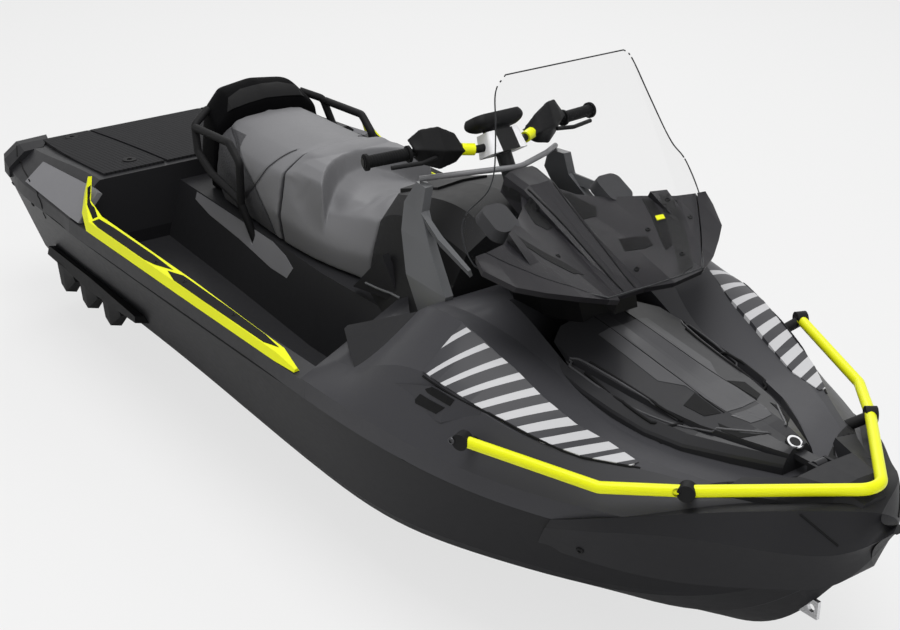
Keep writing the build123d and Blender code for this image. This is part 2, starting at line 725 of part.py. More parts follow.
def axial(x0, x1, radius):
    """Round bar on the pump axis."""
    return rod((x0, 0, SHAFT_Z), (x1, 0, SHAFT_Z), radius, aft)


def blade(x0, x1, lean, reach, thick):
    """One blade about the pump axis, twisted by lean degrees between its two ends."""
    length = reach - IMPELLER_HUB_R + 6
    edges = []
    for x, turn in [(x0, 0), ((x0 + x1) / 2, 0.42 * lean), (x1, lean)]:
        root = pump_plane(x) * Rot(0, 0, turn) * Pos(0, IMPELLER_HUB_R - 6 + length / 2)
        edges.append(root * Rectangle(thick, length))
    return loft(edges)


def pump_housing():
    outer = PUMP_BORE_R + PUMP_WALL
    cone_front = PUMP_REAR_X + 75
    body = axial(cone_front, PUMP_FRONT_X, outer) - axial(cone_front - 5, PUMP_FRONT_X + 5, PUMP_BORE_R)
    shell = loft([pump_plane(PUMP_REAR_X - 10) * Circle(47), pump_plane(cone_front) * Circle(outer)])
    shell -= loft([pump_plane(PUMP_REAR_X - 10) * Circle(42), pump_plane(cone_front) * Circle(PUMP_BORE_R)])
    hub = axial(PUMP_REAR_X + 60, STATOR_FRONT_X, IMPELLER_HUB_R)
    hub += loft([pump_plane(PUMP_REAR_X + 10) * Circle(8), pump_plane(PUMP_REAR_X + 60) * Circle(IMPELLER_HUB_R)])
    body += shell + hub
    for i in range(STATOR_VANES):
        vane = blade(cone_front, STATOR_FRONT_X - 4, -14, PUMP_BORE_R + 2, BLADE_THICK)
        body += vane.rotate(Axis(aft(0, 0, SHAFT_Z), (1, 0, 0)), 360 / STATOR_VANES * i)
    return body - axial(PUMP_REAR_X + 80, STATOR_FRONT_X + 1, SHAFT_R + PIN_GAP)


def pump_brackets():
    """Ears behind the venturi that carry the nozzle pins and the bucket pins."""
    rear = NOZZLE_PIVOT_X
    front = PUMP_REAR_X + 85
    ears = both_sides(block(rear - 16, front, 78, 92, SHAFT_Z - 14, SHAFT_Z + 14, aft))
    ears += block(rear - 14, front, -14, 14, SHAFT_Z + 78, SHAFT_Z + 90, aft)
    ears += block(rear - 14, front, -14, 14, SHAFT_Z - 90, SHAFT_Z - 78, aft)
    ears += both_sides(cross_rod(rear, 88, BUCKET_HALF_WIDTH + BUCKET_WALL, SHAFT_Z, PIN_R))
    for low, high in [(66, 80), (-80, -66)]:
        ears += rod((rear, 0, SHAFT_Z + low), (rear, 0, SHAFT_Z + high), PIN_R, aft)
    return ears


def impeller():
    rear = STATOR_FRONT_X + 5
    front = PUMP_FRONT_X - 20
    reach = PUMP_BORE_R - IMPELLER_CLEARANCE
    body = axial(rear, front, IMPELLER_HUB_R)
    for i in range(IMPELLER_BLADES):
        fan = blade(rear + 4, front - 4, 74, reach, BLADE_THICK)
        body += fan.rotate(Axis(aft(0, 0, SHAFT_Z), (1, 0, 0)), 360 / IMPELLER_BLADES * i)
    body = body & axial(rear, front, reach)
    return body + axial(PUMP_REAR_X + 85, ENGINE_X - 1, SHAFT_R)


def steering_nozzle():
    front = pump_plane(NOZZLE_PIVOT_X + 15)
    rear = front.offset(-NOZZLE_LENGTH)
    body = loft([rear * Circle(NOZZLE_EXIT_R + NOZZLE_WALL), front * Circle(NOZZLE_ENTRY_R + NOZZLE_WALL)])
    body -= loft([rear * Circle(NOZZLE_EXIT_R), front * Circle(NOZZLE_ENTRY_R)])
    pivot = NOZZLE_PIVOT_X
    for low, high in [(62, 76), (-76, -62)]:
        body += rod((pivot, 0, SHAFT_Z + low), (pivot, 0, SHAFT_Z + high), 13, aft)
    return body - rod((pivot, 0, SHAFT_Z - 95), (pivot, 0, SHAFT_Z + 95), PIN_R + PIN_GAP, aft)


def bucket_sector(outer, inner, start, stop):
    """Sector of a ring about the bucket's hinge, in the plane of the keel."""
    plane = Plane(origin=aft(NOZZLE_PIVOT_X, 0, SHAFT_Z), x_dir=(1, 0, 0), z_dir=(0, -1, 0))
    steps = [start + (stop - start) * i / 2 for i in range(3)]
    rim = [(outer * cos(radians(a)), outer * sin(radians(a))) for a in steps]
    core = [(inner * cos(radians(a)), inner * sin(radians(a))) for a in steps]
    border = [ThreePointArc(*rim), Line(rim[2], core[2]), ThreePointArc(*reversed(core)),
              Line(core[0], rim[0])]
    return plane, make_face(border)


def reverse_bucket():
    """Curved gate with two cheeks that hang on the side pins."""
    plane, shell = bucket_sector(BUCKET_R + BUCKET_WALL, BUCKET_R, 98, 158)
    reach = BUCKET_HALF_WIDTH + BUCKET_WALL
    bucket = extrude(plane * shell, reach, both=True)
    plane, cheek = bucket_sector(BUCKET_R + BUCKET_WALL, 14, 98, 158)
    cheek = extrude(plane.offset(BUCKET_HALF_WIDTH) * cheek, BUCKET_WALL)
    cheek += extrude(plane.offset(BUCKET_HALF_WIDTH) * Circle(20), BUCKET_WALL)
    bucket += both_sides(cheek)
    return bucket - cross_rod(NOZZLE_PIVOT_X, -reach - 5, reach + 5, SHAFT_Z, PIN_R + PIN_GAP)


def ride_plate():
    """Flat plate under the pump with three stiffening ribs."""
    top = PLATE_Z + PLATE_THICK
    plate = block(TRANSOM_X, PUMP_FRONT_X, -TUNNEL_HALF_WIDTH, TUNNEL_HALF_WIDTH, PLATE_Z, top, aft)
    for y in (-60, 0, 60):
        plate += block(TRANSOM_X + 20, PUMP_FRONT_X - 10, y - 3, y + 3, PLATE_Z - 8, PLATE_Z, aft)
    return plate


def intake_grate():
    """Long bars over the intake, joined by a cross bar at the front."""
    grate = block(1180, 1192, -82, 82, 44, 54, aft)
    for y in (-45, -15, 15, 45):
        grate += block(930, 1200, y - 4, y + 4, 42, 56, aft)
    return grate


def ladder_brackets():
    hinge = LADDER_HINGE_Z
    plate = block(TRANSOM_X - 42, TRANSOM_X, 182, 190, hinge - 20, hinge + 20, aft)
    return both_sides(plate + cross_rod(TRANSOM_X - 28, 160, 184, hinge, PIN_R))


def boarding_ladder():
    """Folding step: a tube loop on two knuckles."""
    x = TRANSOM_X - 28
    hinge = LADDER_HINGE_Z
    top = 430
    loop = tube_path([(x, -168, hinge), (x, -168, top), (x, 168, top), (x, 168, hinge)], 30, LADDER_R, aft)
    loop += both_sides(cross_rod(x, 160, 176, hinge, 15))
    return loop - cross_rod(x, -190, 190, hinge, PIN_R + PIN_GAP)


# ---------------------------------------------------------------- assembly

def mirrored_pair(name, solid):
    return {name + "_port": solid, name + "_starboard": mirror(solid, about=Plane.XZ)}


def twins(solid):
    return together([solid, mirror(solid, about=Plane.XZ)])


def largest(part):
    return part.solids().sort_by(SortBy.VOLUME)[-1]


def trimmed(body, pieces):
    """Body with every piece cut out of it, so that neighbours meet face to face."""
    for piece in pieces:
        body -= piece
    return body


def build():
    hull_shell = hull_body()
    front = front_deck_body()
    rear = rear_deck_body()
    rails = mirrored_pair("footwell_rail", footwell_rail() - hull_shell)
    panels = twins(side_panel() - footwell_rail() - hull_shell)
    fenders = mirrored_pair("fender_panel", fender_panel())
    deflectors = twins(knee_deflector() - fender_panel() - footwell_rail())
    vents = twins(fender_vent() - knee_deflector() - fender_panel())
    sponsons = twins(sponson())
    corners = twins(stern_corner())
    mat, eye, bracket = platform_mat(), bow_eye(), bow_bracket()
    rail = bow_rail()
    clamps = [clamp - rail for clamp in rail_clamps()]
    anchors = cargo_anchors()
    handles = grab_handles()

    deck = rear + mid_deck_body() + front
    hull = hull_shell - deck - footwell_space()
    hull = trimmed(hull, [pump_tunnel(), intake_duct(), shaft_bore(), engine_bay(), storage_bin(),
                          sponsons, corners, eye, intake_grate()])
    deck = trimmed(deck, [engine_bay(), storage_bin(), *rails.values(), panels,
                          *fenders.values(), deflectors, vents, corners, mat, bracket, *clamps,
                          handles])
    bumper = trimmed(bow_bumper(), [hull_shell, front, eye, bracket, rail, *clamps])

    screen = windshield()
    lid = hood() - Pos(0, 0, SEAT_GAP) * front
    cowl = trimmed(fairing(), [lid, screen, front])
    cockpit = trimmed(console(), [mid_deck_body(), front, glovebox_lid(SEAT_GAP), glovebox_space(),
                                  column_room()])
    frames = mirrored_pair("console_frame", console_frame() - cockpit - front)
    column, cover = steering_column(), steering_cover()
    guard = hand_guard() - column - grip()
    return {
        "hull": largest(hull),
        "deck": deck,
        "engine": engine(),
        "bow_bumper": bumper,
        "platform_mat": trimmed(mat, [corners, *anchors]),
        "side_panels": panels,
        "stern_corners": corners,
        "sponsons": sponsons,
        "fender_vents": vents,
        "knee_deflectors": deflectors,
        "side_frames": twins(side_frame() - cockpit - mid_deck_body() - front_seat()),
        "mirror_pods": twins(mirror_pod() - cowl),
        **rails, **fenders, **frames,
        "front_seat": front_seat(),
        "rear_seat": rear_seat(),
        "seat_rear_cap": seat_rear_cap() - handles,
        "grab_handles": handles,
        "console": cockpit,
        "glovebox_lid": glovebox_lid(),
        "dash_rim": dash_rim(),
        "front_hood": lid,
        "screen_fairing": cowl,
        "windshield": screen,
        "nose_disc": nose_disc() - lid,
        "steering_column": column,
        "steering_cover": cover,
        "gauge_pod": gauge_pod() - column - cover,
        "handlebar_grips": twins(grip()),
        "control_levers": twins(control_lever() - guard),
        "hand_guards": twins(guard),
        "bow_rail": rail,
        "rail_clamps": together(clamps),
        "bow_bracket": bracket - rail,
        "bow_eye": eye,
        "cargo_anchors": together(anchors),
        "stern_eyes": twins(stern_eye()),
        "pump_housing": pump_housing() + pump_brackets(),
        "impeller": impeller(),
        "steering_nozzle": steering_nozzle(),
        "reverse_bucket": reverse_bucket(),
        "ride_plate": ride_plate(),
        "intake_grate": intake_grate(),
        "ladder_brackets": ladder_brackets(),
        "boarding_ladder": boarding_ladder(),
    }


os.makedirs("parts", exist_ok=True)
for name, solid in build().items():
    export_step(solid, f"parts/{name}.step")
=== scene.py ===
# %% [markdown]
# # A touring personal watercraft
# The craft arrives as a finished set of CAD pieces that already fit and move. Blender's work
# here is what CAD leaves plain: sewn seats, moulded skins, paint, clear acrylic and trim.
# Every length below is in metres, with +X to the bow, +Y to port and +Z up from the waterline.

# %% Load the frame
import math

import bmesh
import bpy
from mathutils import Matrix, Vector
from mathutils.bvhtree import BVHTree
from mathutils.kdtree import KDTree


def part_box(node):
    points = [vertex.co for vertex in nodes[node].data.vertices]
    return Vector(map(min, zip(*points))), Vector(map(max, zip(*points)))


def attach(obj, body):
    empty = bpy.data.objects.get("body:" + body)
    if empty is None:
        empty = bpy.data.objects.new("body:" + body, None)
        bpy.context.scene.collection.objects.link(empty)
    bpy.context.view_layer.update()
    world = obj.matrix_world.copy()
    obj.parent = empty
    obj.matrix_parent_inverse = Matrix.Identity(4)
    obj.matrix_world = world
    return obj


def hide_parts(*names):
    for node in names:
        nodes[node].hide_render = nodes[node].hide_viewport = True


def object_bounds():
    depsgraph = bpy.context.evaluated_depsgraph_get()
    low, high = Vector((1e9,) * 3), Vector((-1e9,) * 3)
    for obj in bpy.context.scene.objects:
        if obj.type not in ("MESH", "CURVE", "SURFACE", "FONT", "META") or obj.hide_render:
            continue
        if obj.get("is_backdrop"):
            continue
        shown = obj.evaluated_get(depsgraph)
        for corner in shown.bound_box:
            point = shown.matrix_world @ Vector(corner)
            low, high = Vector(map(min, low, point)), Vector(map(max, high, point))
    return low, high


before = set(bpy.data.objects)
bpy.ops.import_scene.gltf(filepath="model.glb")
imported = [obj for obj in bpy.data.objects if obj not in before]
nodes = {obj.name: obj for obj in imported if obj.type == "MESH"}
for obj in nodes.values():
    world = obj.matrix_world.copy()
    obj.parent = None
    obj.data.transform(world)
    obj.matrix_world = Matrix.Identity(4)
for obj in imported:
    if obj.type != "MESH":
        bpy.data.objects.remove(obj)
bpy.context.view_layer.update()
scene = bpy.context.scene

# %% [markdown]
# ## Shader maths that reads like arithmetic
# A material in Blender is a graph of nodes. Written one node at a time, even a simple stripe
# takes a page, so one small class wraps a socket: adding or multiplying two of them adds the
# Math node for it, and its other methods add the rest.

# %% A socket that can be used as a number
class Wire:
    """One output socket of a node tree."""

    def __init__(self, tree, socket=None):
        self.tree = tree
        self.socket = socket

    def node(self, kind, settings=None, inputs=None, out=0):
        """Adds a node: its settings first, then the values or links of its sockets."""
        node = self.tree.nodes.new(kind)
        for name, value in (settings or {}).items():
            setattr(node, name, value)
        for key, value in (inputs or {}).items():
            if isinstance(value, Wire):
                self.tree.links.new(value.socket, node.inputs[key])
            else:
                node.inputs[key].default_value = value
        return Wire(self.tree, node.outputs[out])

    def math(self, operation, *values):
        return self.node("ShaderNodeMath", {"operation": operation}, dict(enumerate(values)))

    def __add__(self, other):
        return self.math("ADD", self, other)

    def __radd__(self, other):
        return self.math("ADD", other, self)

    def __sub__(self, other):
        return self.math("SUBTRACT", self, other)

    def __rsub__(self, other):
        return self.math("SUBTRACT", other, self)

    def __mul__(self, other):
        return self.math("MULTIPLY", self, other)

    def __rmul__(self, other):
        return self.math("MULTIPLY", other, self)

    def __gt__(self, other):
        return self.math("GREATER_THAN", self, other)

    def __lt__(self, other):
        return self.math("LESS_THAN", self, other)

    def __abs__(self):
        return self.math("ABSOLUTE", self)

    def clamp(self):
        return self.node("ShaderNodeClamp", None, {"Value": self})

    def fract(self):
        """What is left past the whole number: a saw-tooth from 0 to 1."""
        return self.math("FRACT", self)

    def axis(self, letter):
        return self.node("ShaderNodeSeparateXYZ", None, {"Vector": self}, letter)

    def stretched(self, x, y, z):
        return self.node("ShaderNodeVectorMath", {"operation": "MULTIPLY"}, {0: self, 1: (x, y, z)})

    def noise(self, scale, detail=2.0, rough=0.5):
        return self.node("ShaderNodeTexNoise", None,
                         {"Vector": self, "Scale": scale, "Detail": detail, "Roughness": rough}, "Fac")

    def cells(self, scale):
        """Distance to the nearest border in a pattern of cells."""
        return self.node("ShaderNodeTexVoronoi", {"feature": "DISTANCE_TO_EDGE"},
                         {"Vector": self, "Scale": scale}, "Distance")

    def between(self, low, high):
        """1 where the value lies between two limits."""
        return (self > low) * (self < high)

    def blend(self, first, second):
        """Mixes two colours, with this value as the share of the second."""
        mix = self.tree.nodes.new("ShaderNodeMix")
        mix.data_type = "RGBA"
        self.tree.links.new(self.socket, mix.inputs["Factor"])
        for socket, colour in ((mix.inputs[6], first), (mix.inputs[7], second)):
            if isinstance(colour, Wire):
                self.tree.links.new(colour.socket, socket)
            else:
                socket.default_value = (*colour, 1)
        return Wire(self.tree, mix.outputs[2])


# %% [markdown]
# ## One way to start every finish
# Almost everything here is a moulded plastic, a paint or a metal. All start from one Principled
# shader. Plastic varies a little in colour over some thirty centimetres, its roughness varies
# more finely, and its surface has a grain. The grain is a Bump, so it costs no geometry.

# %% Finishes
COAT_ROUGHNESS = 0.12
HANDLING = 3.5  # size of the cloudy patches that handling leaves, as a noise scale
SCUFFS = 38  # the same for scuffs in a moulded skin
SMUDGES = 60  # and for smudges, which are finer


def srgb(red, green, blue):
    """Linear colour from the 0 to 255 values that a colour card gives."""
    return tuple((c / 255 / 12.92) if c / 255 <= 0.04045 else ((c / 255 + 0.055) / 1.055) ** 2.4
                 for c in (red, green, blue))


def finish(name, colour, roughness, metallic=0.0, coat=0.0, specular=0.15):
    """New material: its shader, and a wire that carries the place on the craft."""
    material = bpy.data.materials.new(name)
    material.use_nodes = True
    shader = material.node_tree.nodes["Principled BSDF"]
    shader.inputs["Base Color"].default_value = (*colour, 1)
    shader.inputs["Roughness"].default_value = roughness
    shader.inputs["Metallic"].default_value = metallic
    shader.inputs["Coat Weight"].default_value = coat
    shader.inputs["Coat Roughness"].default_value = COAT_ROUGHNESS
    shader.inputs["Specular IOR Level"].default_value = specular
    place = Wire(material.node_tree).node("ShaderNodeTexCoord", None, None, "Object")
    return material, shader, place


def drive(shader, socket, wire):
    """Links a wire to a socket of the shader."""
    wire.tree.links.new(wire.socket, shader.inputs[socket])


def grain(shader, height, strength, distance, base=None):
    """Feeds a height into the shader's normal through a Bump."""
    inputs = {"Height": height, "Strength": strength, "Distance": distance}
    if base:
        inputs["Normal"] = base
    bump = height.node("ShaderNodeBump", None, inputs)
    drive(shader, "Normal", bump)
    return bump


def plastic(name, colour, roughness, grain_size=0.0016, grain_depth=0.00012, coat=0.0, mottle=0.1,
            specular=0.15):
    """Moulded plastic: a fine spark-eroded grain with slight handling marks."""
    material, shader, place = finish(name, colour, roughness, coat=coat, specular=specular)
    cloud = place.noise(HANDLING, 3.0)
    scuff = place.stretched(1, 1, 2.5).noise(SCUFFS, 4.0, 0.6)
    darker = tuple(c * (1 - mottle) for c in colour)
    lighter = tuple(min(1, c * (1 + mottle)) for c in colour)
    drive(shader, "Base Color", cloud.blend(darker, lighter))
    drive(shader, "Roughness", (roughness - 0.06) + 0.12 * scuff)
    if grain_depth:
        pits = place.noise(0.5 / grain_size, 2.0)
        grain(shader, pits, 0.3, grain_depth)
    return material


def metal(name, colour, roughness, brushed=(60, 60, 900)):
    """Metal with a brushed or cast skin."""
    material, shader, place = finish(name, colour, roughness, metallic=1.0, specular=0.5)
    lines = place.stretched(*brushed).noise(1.0, 3.0)
    drive(shader, "Roughness", (roughness - 0.08) + 0.16 * lines)
    grain(shader, lines, 0.25, 0.0002)
    return material


def cover_with(material, *names):
    """Gives CAD nodes a finish."""
    for name in names:
        mesh = nodes[name].data
        mesh.materials.clear()
        mesh.materials.append(material)
    print(material.name, "covers", ", ".join(names))


# %% The craft's colours
CHARCOAL = srgb(54, 54, 57)
HULL_GREY = srgb(25, 25, 27)
DARK = srgb(30, 30, 32)
BLACK = srgb(17, 17, 18)
NEON = srgb(218, 222, 16)
SEAT_GREY = srgb(105, 105, 107)
SEAT_DARK = srgb(66, 66, 68)
STRIPE = srgb(178, 178, 180)

black_plastic = plastic("grained_black_plastic", BLACK, 0.62)
dark_plastic = plastic("grained_dark_plastic", DARK, 0.55)
cover_with(plastic("hull_gelcoat", HULL_GREY, 0.46, 0.004, 0.00004, specular=0.1), "hull")
cover_with(plastic("vent_moulding", CHARCOAL, 0.46, 0.0022, 0.0001), "fender_vents")
cover_with(black_plastic, "rail_clamps", "cargo_anchors", "sponsons", "hand_guards",
           "control_levers", "grab_handles", "gauge_pod", "reverse_bucket")
cover_with(dark_plastic, "bow_bumper", "stern_corners", "bow_bracket", "knee_deflectors",
           "side_frames")
cover_with(plastic("pod_grey", srgb(52, 52, 54), 0.45), "mirror_pods")
cover_with(plastic("console_black", srgb(20, 20, 21), 0.58), "console", "glovebox_lid")
cover_with(plastic("side_panel_paint", srgb(110, 110, 113), 0.4, coat=0.1), "side_panels")
cover_with(plastic("hood_gloss", srgb(40, 40, 42), 0.33, 0.004, 0.00002, coat=0.1), "front_hood")
cover_with(plastic("frame_silver", srgb(86, 87, 89), 0.36, coat=0.1), "console_frame_port",
           "console_frame_starboard")
cover_with(plastic("rim_silver", srgb(104, 104, 106), 0.34, coat=0.15), "dash_rim")
cover_with(plastic("neon_paint", NEON, 0.4, 0.003, 0.00005, coat=0.1, mottle=0.03), "bow_rail",
           "footwell_rail_port", "footwell_rail_starboard")
cover_with(plastic("bar_paint", BLACK, 0.4), "steering_column", "boarding_ladder", "ladder_brackets")
cover_with(metal("cast_alloy", srgb(186, 187, 190), 0.42, (90, 90, 90)), "pump_housing",
           "steering_nozzle", "ride_plate")
cover_with(metal("stainless", srgb(200, 200, 202), 0.26), "bow_eye", "stern_eyes", "intake_grate",
           "impeller")
cover_with(metal("engine_casting", srgb(110, 110, 112), 0.6, (120, 120, 120)), "engine")

# %% [markdown]
# ## Mouldings in two tones
# The fairing is one moulding, but its neck below the panel is black. The deck is charcoal at
# the fenders and darker round the footwells. A place along one axis tells the two apart, so a
# ramp on that axis, short or long, blends the colours.

# %% Fairing and deck
PANEL_FOOT_Z, SHORT_RAMP = 0.571, 0.002
FOOTWELL_END_X, LONG_RAMP = 0.05, 0.5


def two_tone(name, near, far, axis, start, length):
    """Plastic that turns from one colour to another along an axis."""
    material, shader, place = finish(name, far, 0.48, coat=0.05)
    share = ((place.axis(axis) - start) * (1 / length)).clamp()
    cloud = place.noise(HANDLING, 3.0).blend([c * 0.9 for c in far], [c * 1.1 for c in far])
    drive(shader, "Base Color", share.blend(near, cloud))
    drive(shader, "Roughness", 0.42 + 0.12 * place.noise(SCUFFS, 4.0))
    grain(shader, place.noise(320), 0.3, 0.00008)
    return material


cover_with(two_tone("fairing_two_tone", srgb(11, 11, 12), srgb(29, 28, 31), "Z", PANEL_FOOT_Z,
                    SHORT_RAMP),
           "screen_fairing")
cover_with(two_tone("deck_moulding", srgb(34, 34, 36), CHARCOAL, "X", FOOTWELL_END_X, LONG_RAMP),
           "deck")

# %% [markdown]
# ## Grips and the clamp on the bar
# Rubber grips have ribs round them: a saw-tooth along Y in the bump gives a rib every 7 mm,
# and the same saw-tooth paints the hollows between ribs darker as painted shade.
# The clamp is one shell with two pale jaws, so the distance from the centreline tells the
# jaws from the black middle.

# %% Grips and clamp
RIBS_PER_METRE = 140.0
CLAMP_MIDDLE = 0.030
JAW_PALE = srgb(220, 220, 222)


def ribbed_rubber():
    material, shader, place = finish("ribbed_rubber", srgb(12, 12, 13), 0.8)
    rib = abs((place.axis("Y") * RIBS_PER_METRE).fract() - 0.5)
    drive(shader, "Roughness", 0.7 + 0.2 * place.noise(50))
    # Painted shade: the hollows between the ribs are darker.
    drive(shader, "Base Color", rib.blend(srgb(8, 8, 9), srgb(20, 20, 21)))
    grain(shader, rib, 0.8, 0.002)
    return material


def clamp_jaws():
    material, shader, place = finish("clamp_jaws", JAW_PALE, 0.4, coat=0.1)
    jaw = abs(place.axis("Y")) > CLAMP_MIDDLE
    drive(shader, "Base Color", jaw.blend(srgb(18, 18, 19), JAW_PALE))
    drive(shader, "Roughness", 0.35 + 0.15 * place.noise(SMUDGES, 3.0))
    grain(shader, place.noise(300), 0.3, 0.00006)
    return material


cover_with(ribbed_rubber(), "handlebar_grips")
cover_with(clamp_jaws(), "steering_cover")

# %% [markdown]
# ## Disc on the nose
# The disc at the tip of the hood is black with a bright rim. The rim is a ring of one width,
# so the distance from the disc's middle decides between the two.

# %% Disc
RIM_INNER, RIM_OUTER = 0.62, 0.86  # shares of the disc's radius
DISC_BLACK = srgb(24, 24, 25)


def rimmed_disc(node):
    low, high = [Vector(c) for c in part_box(node)]
    middle, radius = (low + high) / 2, (high.y - low.y) / 2
    material, shader, place = finish("rimmed_disc", DISC_BLACK, 0.3, coat=0.3)
    ends = {0: place, 1: tuple(middle)}
    away = place.node("ShaderNodeVectorMath", {"operation": "DISTANCE"}, ends, "Value")
    rim = away.between(RIM_INNER * radius, RIM_OUTER * radius)
    drive(shader, "Base Color", rim.blend(DISC_BLACK, srgb(214, 214, 216)))
    drive(shader, "Roughness", 0.25 + 0.15 * place.noise(SMUDGES, 3.0))
    grain(shader, rim, 0.5, 0.0004)
    return material


cover_with(rimmed_disc("nose_disc"), "nose_disc")

# %% [markdown]
# ## Striped fender panels
# The panels on the fenders carry a row of pale bars that grow wider towards the bow. They are
# printed on the real craft, so they belong in the material: a saw-tooth along the panel, cut by
# a threshold that rises as it nears the bow.

# %% Stripes
BARS_PER_METRE = 21.0
FORWARD, OUTWARD = 0.93, 0.36  # direction from one bar to the next
FIRST_BAR = 0.93  # where the first one starts, along that direction
PANEL_REAR_X = 0.80
NARROWEST, WIDENING = 0.25, 0.62  # shares of the bars' spacing
WIDENING_RATE = 1.35  # how fast they widen, per metre from the panel's rear


def striped_panel():
    material, shader, place = finish("striped_panel", CHARCOAL, 0.42, coat=0.05)
    x = place.axis("X")
    side = abs(place.axis("Y"))
    along = x * FORWARD + side * OUTWARD
    step = ((along - FIRST_BAR) * BARS_PER_METRE).fract()
    share = ((x - PANEL_REAR_X) * WIDENING_RATE).clamp()
    bars = step < NARROWEST + WIDENING * share
    drive(shader, "Base Color", bars.blend(CHARCOAL, STRIPE))
    grain(shader, place.noise(450), 0.4, 0.00006)
    return material


cover_with(striped_panel(), "fender_panel_port", "fender_panel_starboard")

# %% [markdown]
# ## Grip mat
# The rear platform is covered with closed-cell foam, cut with close grooves that run fore and
# aft. A wave along Y gives the grooves to the bump, and paints them a little darker as painted
# shade in the grooves.

# %% Mat
GROOVES_PER_METRE = 62.0
GROOVE_HALF = 0.14  # share of the grooves' spacing


def foam_mat():
    material, shader, place = finish("foam_mat", BLACK, 0.85)
    groove = abs((place.axis("Y") * GROOVES_PER_METRE).fract() - 0.5) < GROOVE_HALF
    # Painted shade: the grooves are darker.
    drive(shader, "Base Color", groove.blend(srgb(30, 30, 32), srgb(14, 14, 15)))
    grain(shader, place.noise(900) * 0.15 + (1 - groove), 0.7, 0.0009)
    return material


cover_with(foam_mat(), "platform_mat")

# %% [markdown]
# ## Windshield
# Clear acrylic is nearly invisible face on and mirrors at a grazing angle. Alpha rises as the
# sheet turns edge on, so it shows its bends without hiding what is behind.

# %% Acrylic
FACE_ON, EDGE_ON = 0.025, 0.12  # alpha face on, and what is added edge on
STEEPNESS = 4.0


def acrylic():
    material, shader, place = finish("clear_acrylic", (0.03, 0.032, 0.035), 0.05)
    edge = place.node("ShaderNodeLayerWeight", None, {"Blend": 0.3}, "Facing")
    drive(shader, "Alpha", FACE_ON + EDGE_ON * edge.math("POWER", edge, STEEPNESS))
    return material


clear_acrylic = acrylic()
cover_with(clear_acrylic, "windshield")

# %% [markdown]
# ## Small helpers for things that follow a surface
# Trim, seams and screws sit on skins that already exist. A search tree over a skin answers two
# questions quickly: which point is nearest, and where does a ray land. With those, a plate can
# be cut flat and then pressed onto the skin, and a line can be laid along it.

# %% Places and slots
AFT = 1.854  # from the stern to the middle of the craft's length
WATERLINE = 0.270  # above the keel


def local(x, y, z):
    """Place on the craft from its drawn place: from the stern and from the keel."""
    return (x - AFT, y, z - WATERLINE)


def mirrored(points):
    """The same points on the other side."""
    return [(x, -y, z) for x, y, z in points]


def across(points):
    """A line on the starboard side, and back along its mirror image."""
    return points + mirrored(points)[::-1]


# %% Surfaces and pieces
def surface(*meshes):
    """Search tree over one or more meshes; a name stands for that CAD node."""
    points, faces = [], []
    for mesh in meshes:
        if isinstance(mesh, str):
            mesh = nodes[mesh].data
        first = len(points)
        points.extend(vertex.co.copy() for vertex in mesh.vertices)
        faces.extend([first + i for i in face.vertices] for face in mesh.polygons)
    return BVHTree.FromPolygons(points, faces)


def add_piece(name, data, body, material=None):
    """Puts a mesh or curve in the scene, on a body of the craft."""
    if material:
        data.materials.append(material)
    piece = bpy.data.objects.new(name, data)
    scene.collection.objects.link(piece)
    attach(piece, body)
    print(name, "rides", body)
    return piece


# %% Plates
PRESS_FROM = 0.10  # how far off the skin a plate is cut
PLATE_SINK = 0.0006  # how far its underside goes into the skin


def flat_cells(ring, middle, normal, cell):
    """The flat polygon through a ring of corners, cut into cells."""
    along = (ring[1] - ring[0]).cross(normal).cross(normal).normalized()
    flat = bmesh.new()
    flat.faces.new([flat.verts.new(c - normal * (c - middle).dot(normal)) for c in ring])
    for axis in (along, normal.cross(along)):
        reach = [(c - middle).dot(axis) for c in ring]
        count = int((max(reach) - min(reach)) / cell) + 1
        for step in range(1, count):
            spot = middle + axis * (min(reach) + (max(reach) - min(reach)) * step / count)
            everything = flat.verts[:] + flat.edges[:] + flat.faces[:]
            bmesh.ops.bisect_plane(flat, geom=everything, plane_co=spot, plane_no=axis)
    return flat


def plate(name, body, material, skin, corners, lift=0.0012, cell=0.012):
    """Thin moulded plate: a polygon cut into cells and pressed onto a surface."""
    ring = [Vector(c) for c in corners]
    middle = sum(ring, Vector()) / len(ring)
    normal = Vector()
    for a, b in zip(ring, ring[1:] + ring[:1]):
        normal += (a - middle).cross(b - middle)
    normal.normalize()
    outward = skin.find_nearest(middle)[1]
    if normal.dot(outward) < 0:
        normal.negate()
        ring.reverse()
    flat = flat_cells(ring, middle, normal, cell)
    for vertex in flat.verts:
        spot = skin.ray_cast(vertex.co + normal * PRESS_FROM, -normal, 2 * PRESS_FROM)[0]
        if spot is None:
            spot = skin.find_nearest(vertex.co)[0]
        vertex.co = spot + normal * lift
    mesh = bpy.data.meshes.new(name)
    flat.to_mesh(mesh)
    flat.free()
    piece = add_piece(name, mesh, body, material)
    thick = piece.modifiers.new("thickness", "SOLIDIFY")
    thick.thickness = lift + PLATE_SINK
    thick.offset = -1


def two_plates(name, body, material, skin, corners, **more):
    """The same plate on both sides, from its starboard corners."""
    plate(name + "_starboard", body, material, skin, corners, **more)
    plate(name + "_port", body, material, skin, mirrored(corners), **more)


# %% Lines, beads and screws
THIN_BEAD = 0.002  # thinner ones get fewer facets
# Radius and height of each ring of a head, as shares of its radius
SCREW_PROFILE = [(1.0, -0.3), (1.0, 0.2), (0.86, 0.42), (0.58, 0.5), (0.5, 0.5), (0.46, 0.18), (0.02, 0.16)]
SOCKET = (0.5, 0.46)  # the profile's two rings that are hexagons
SCREW_SIDES = 24
HALF_FLAT = math.pi / 6  # half the angle that one side of a hexagon spans


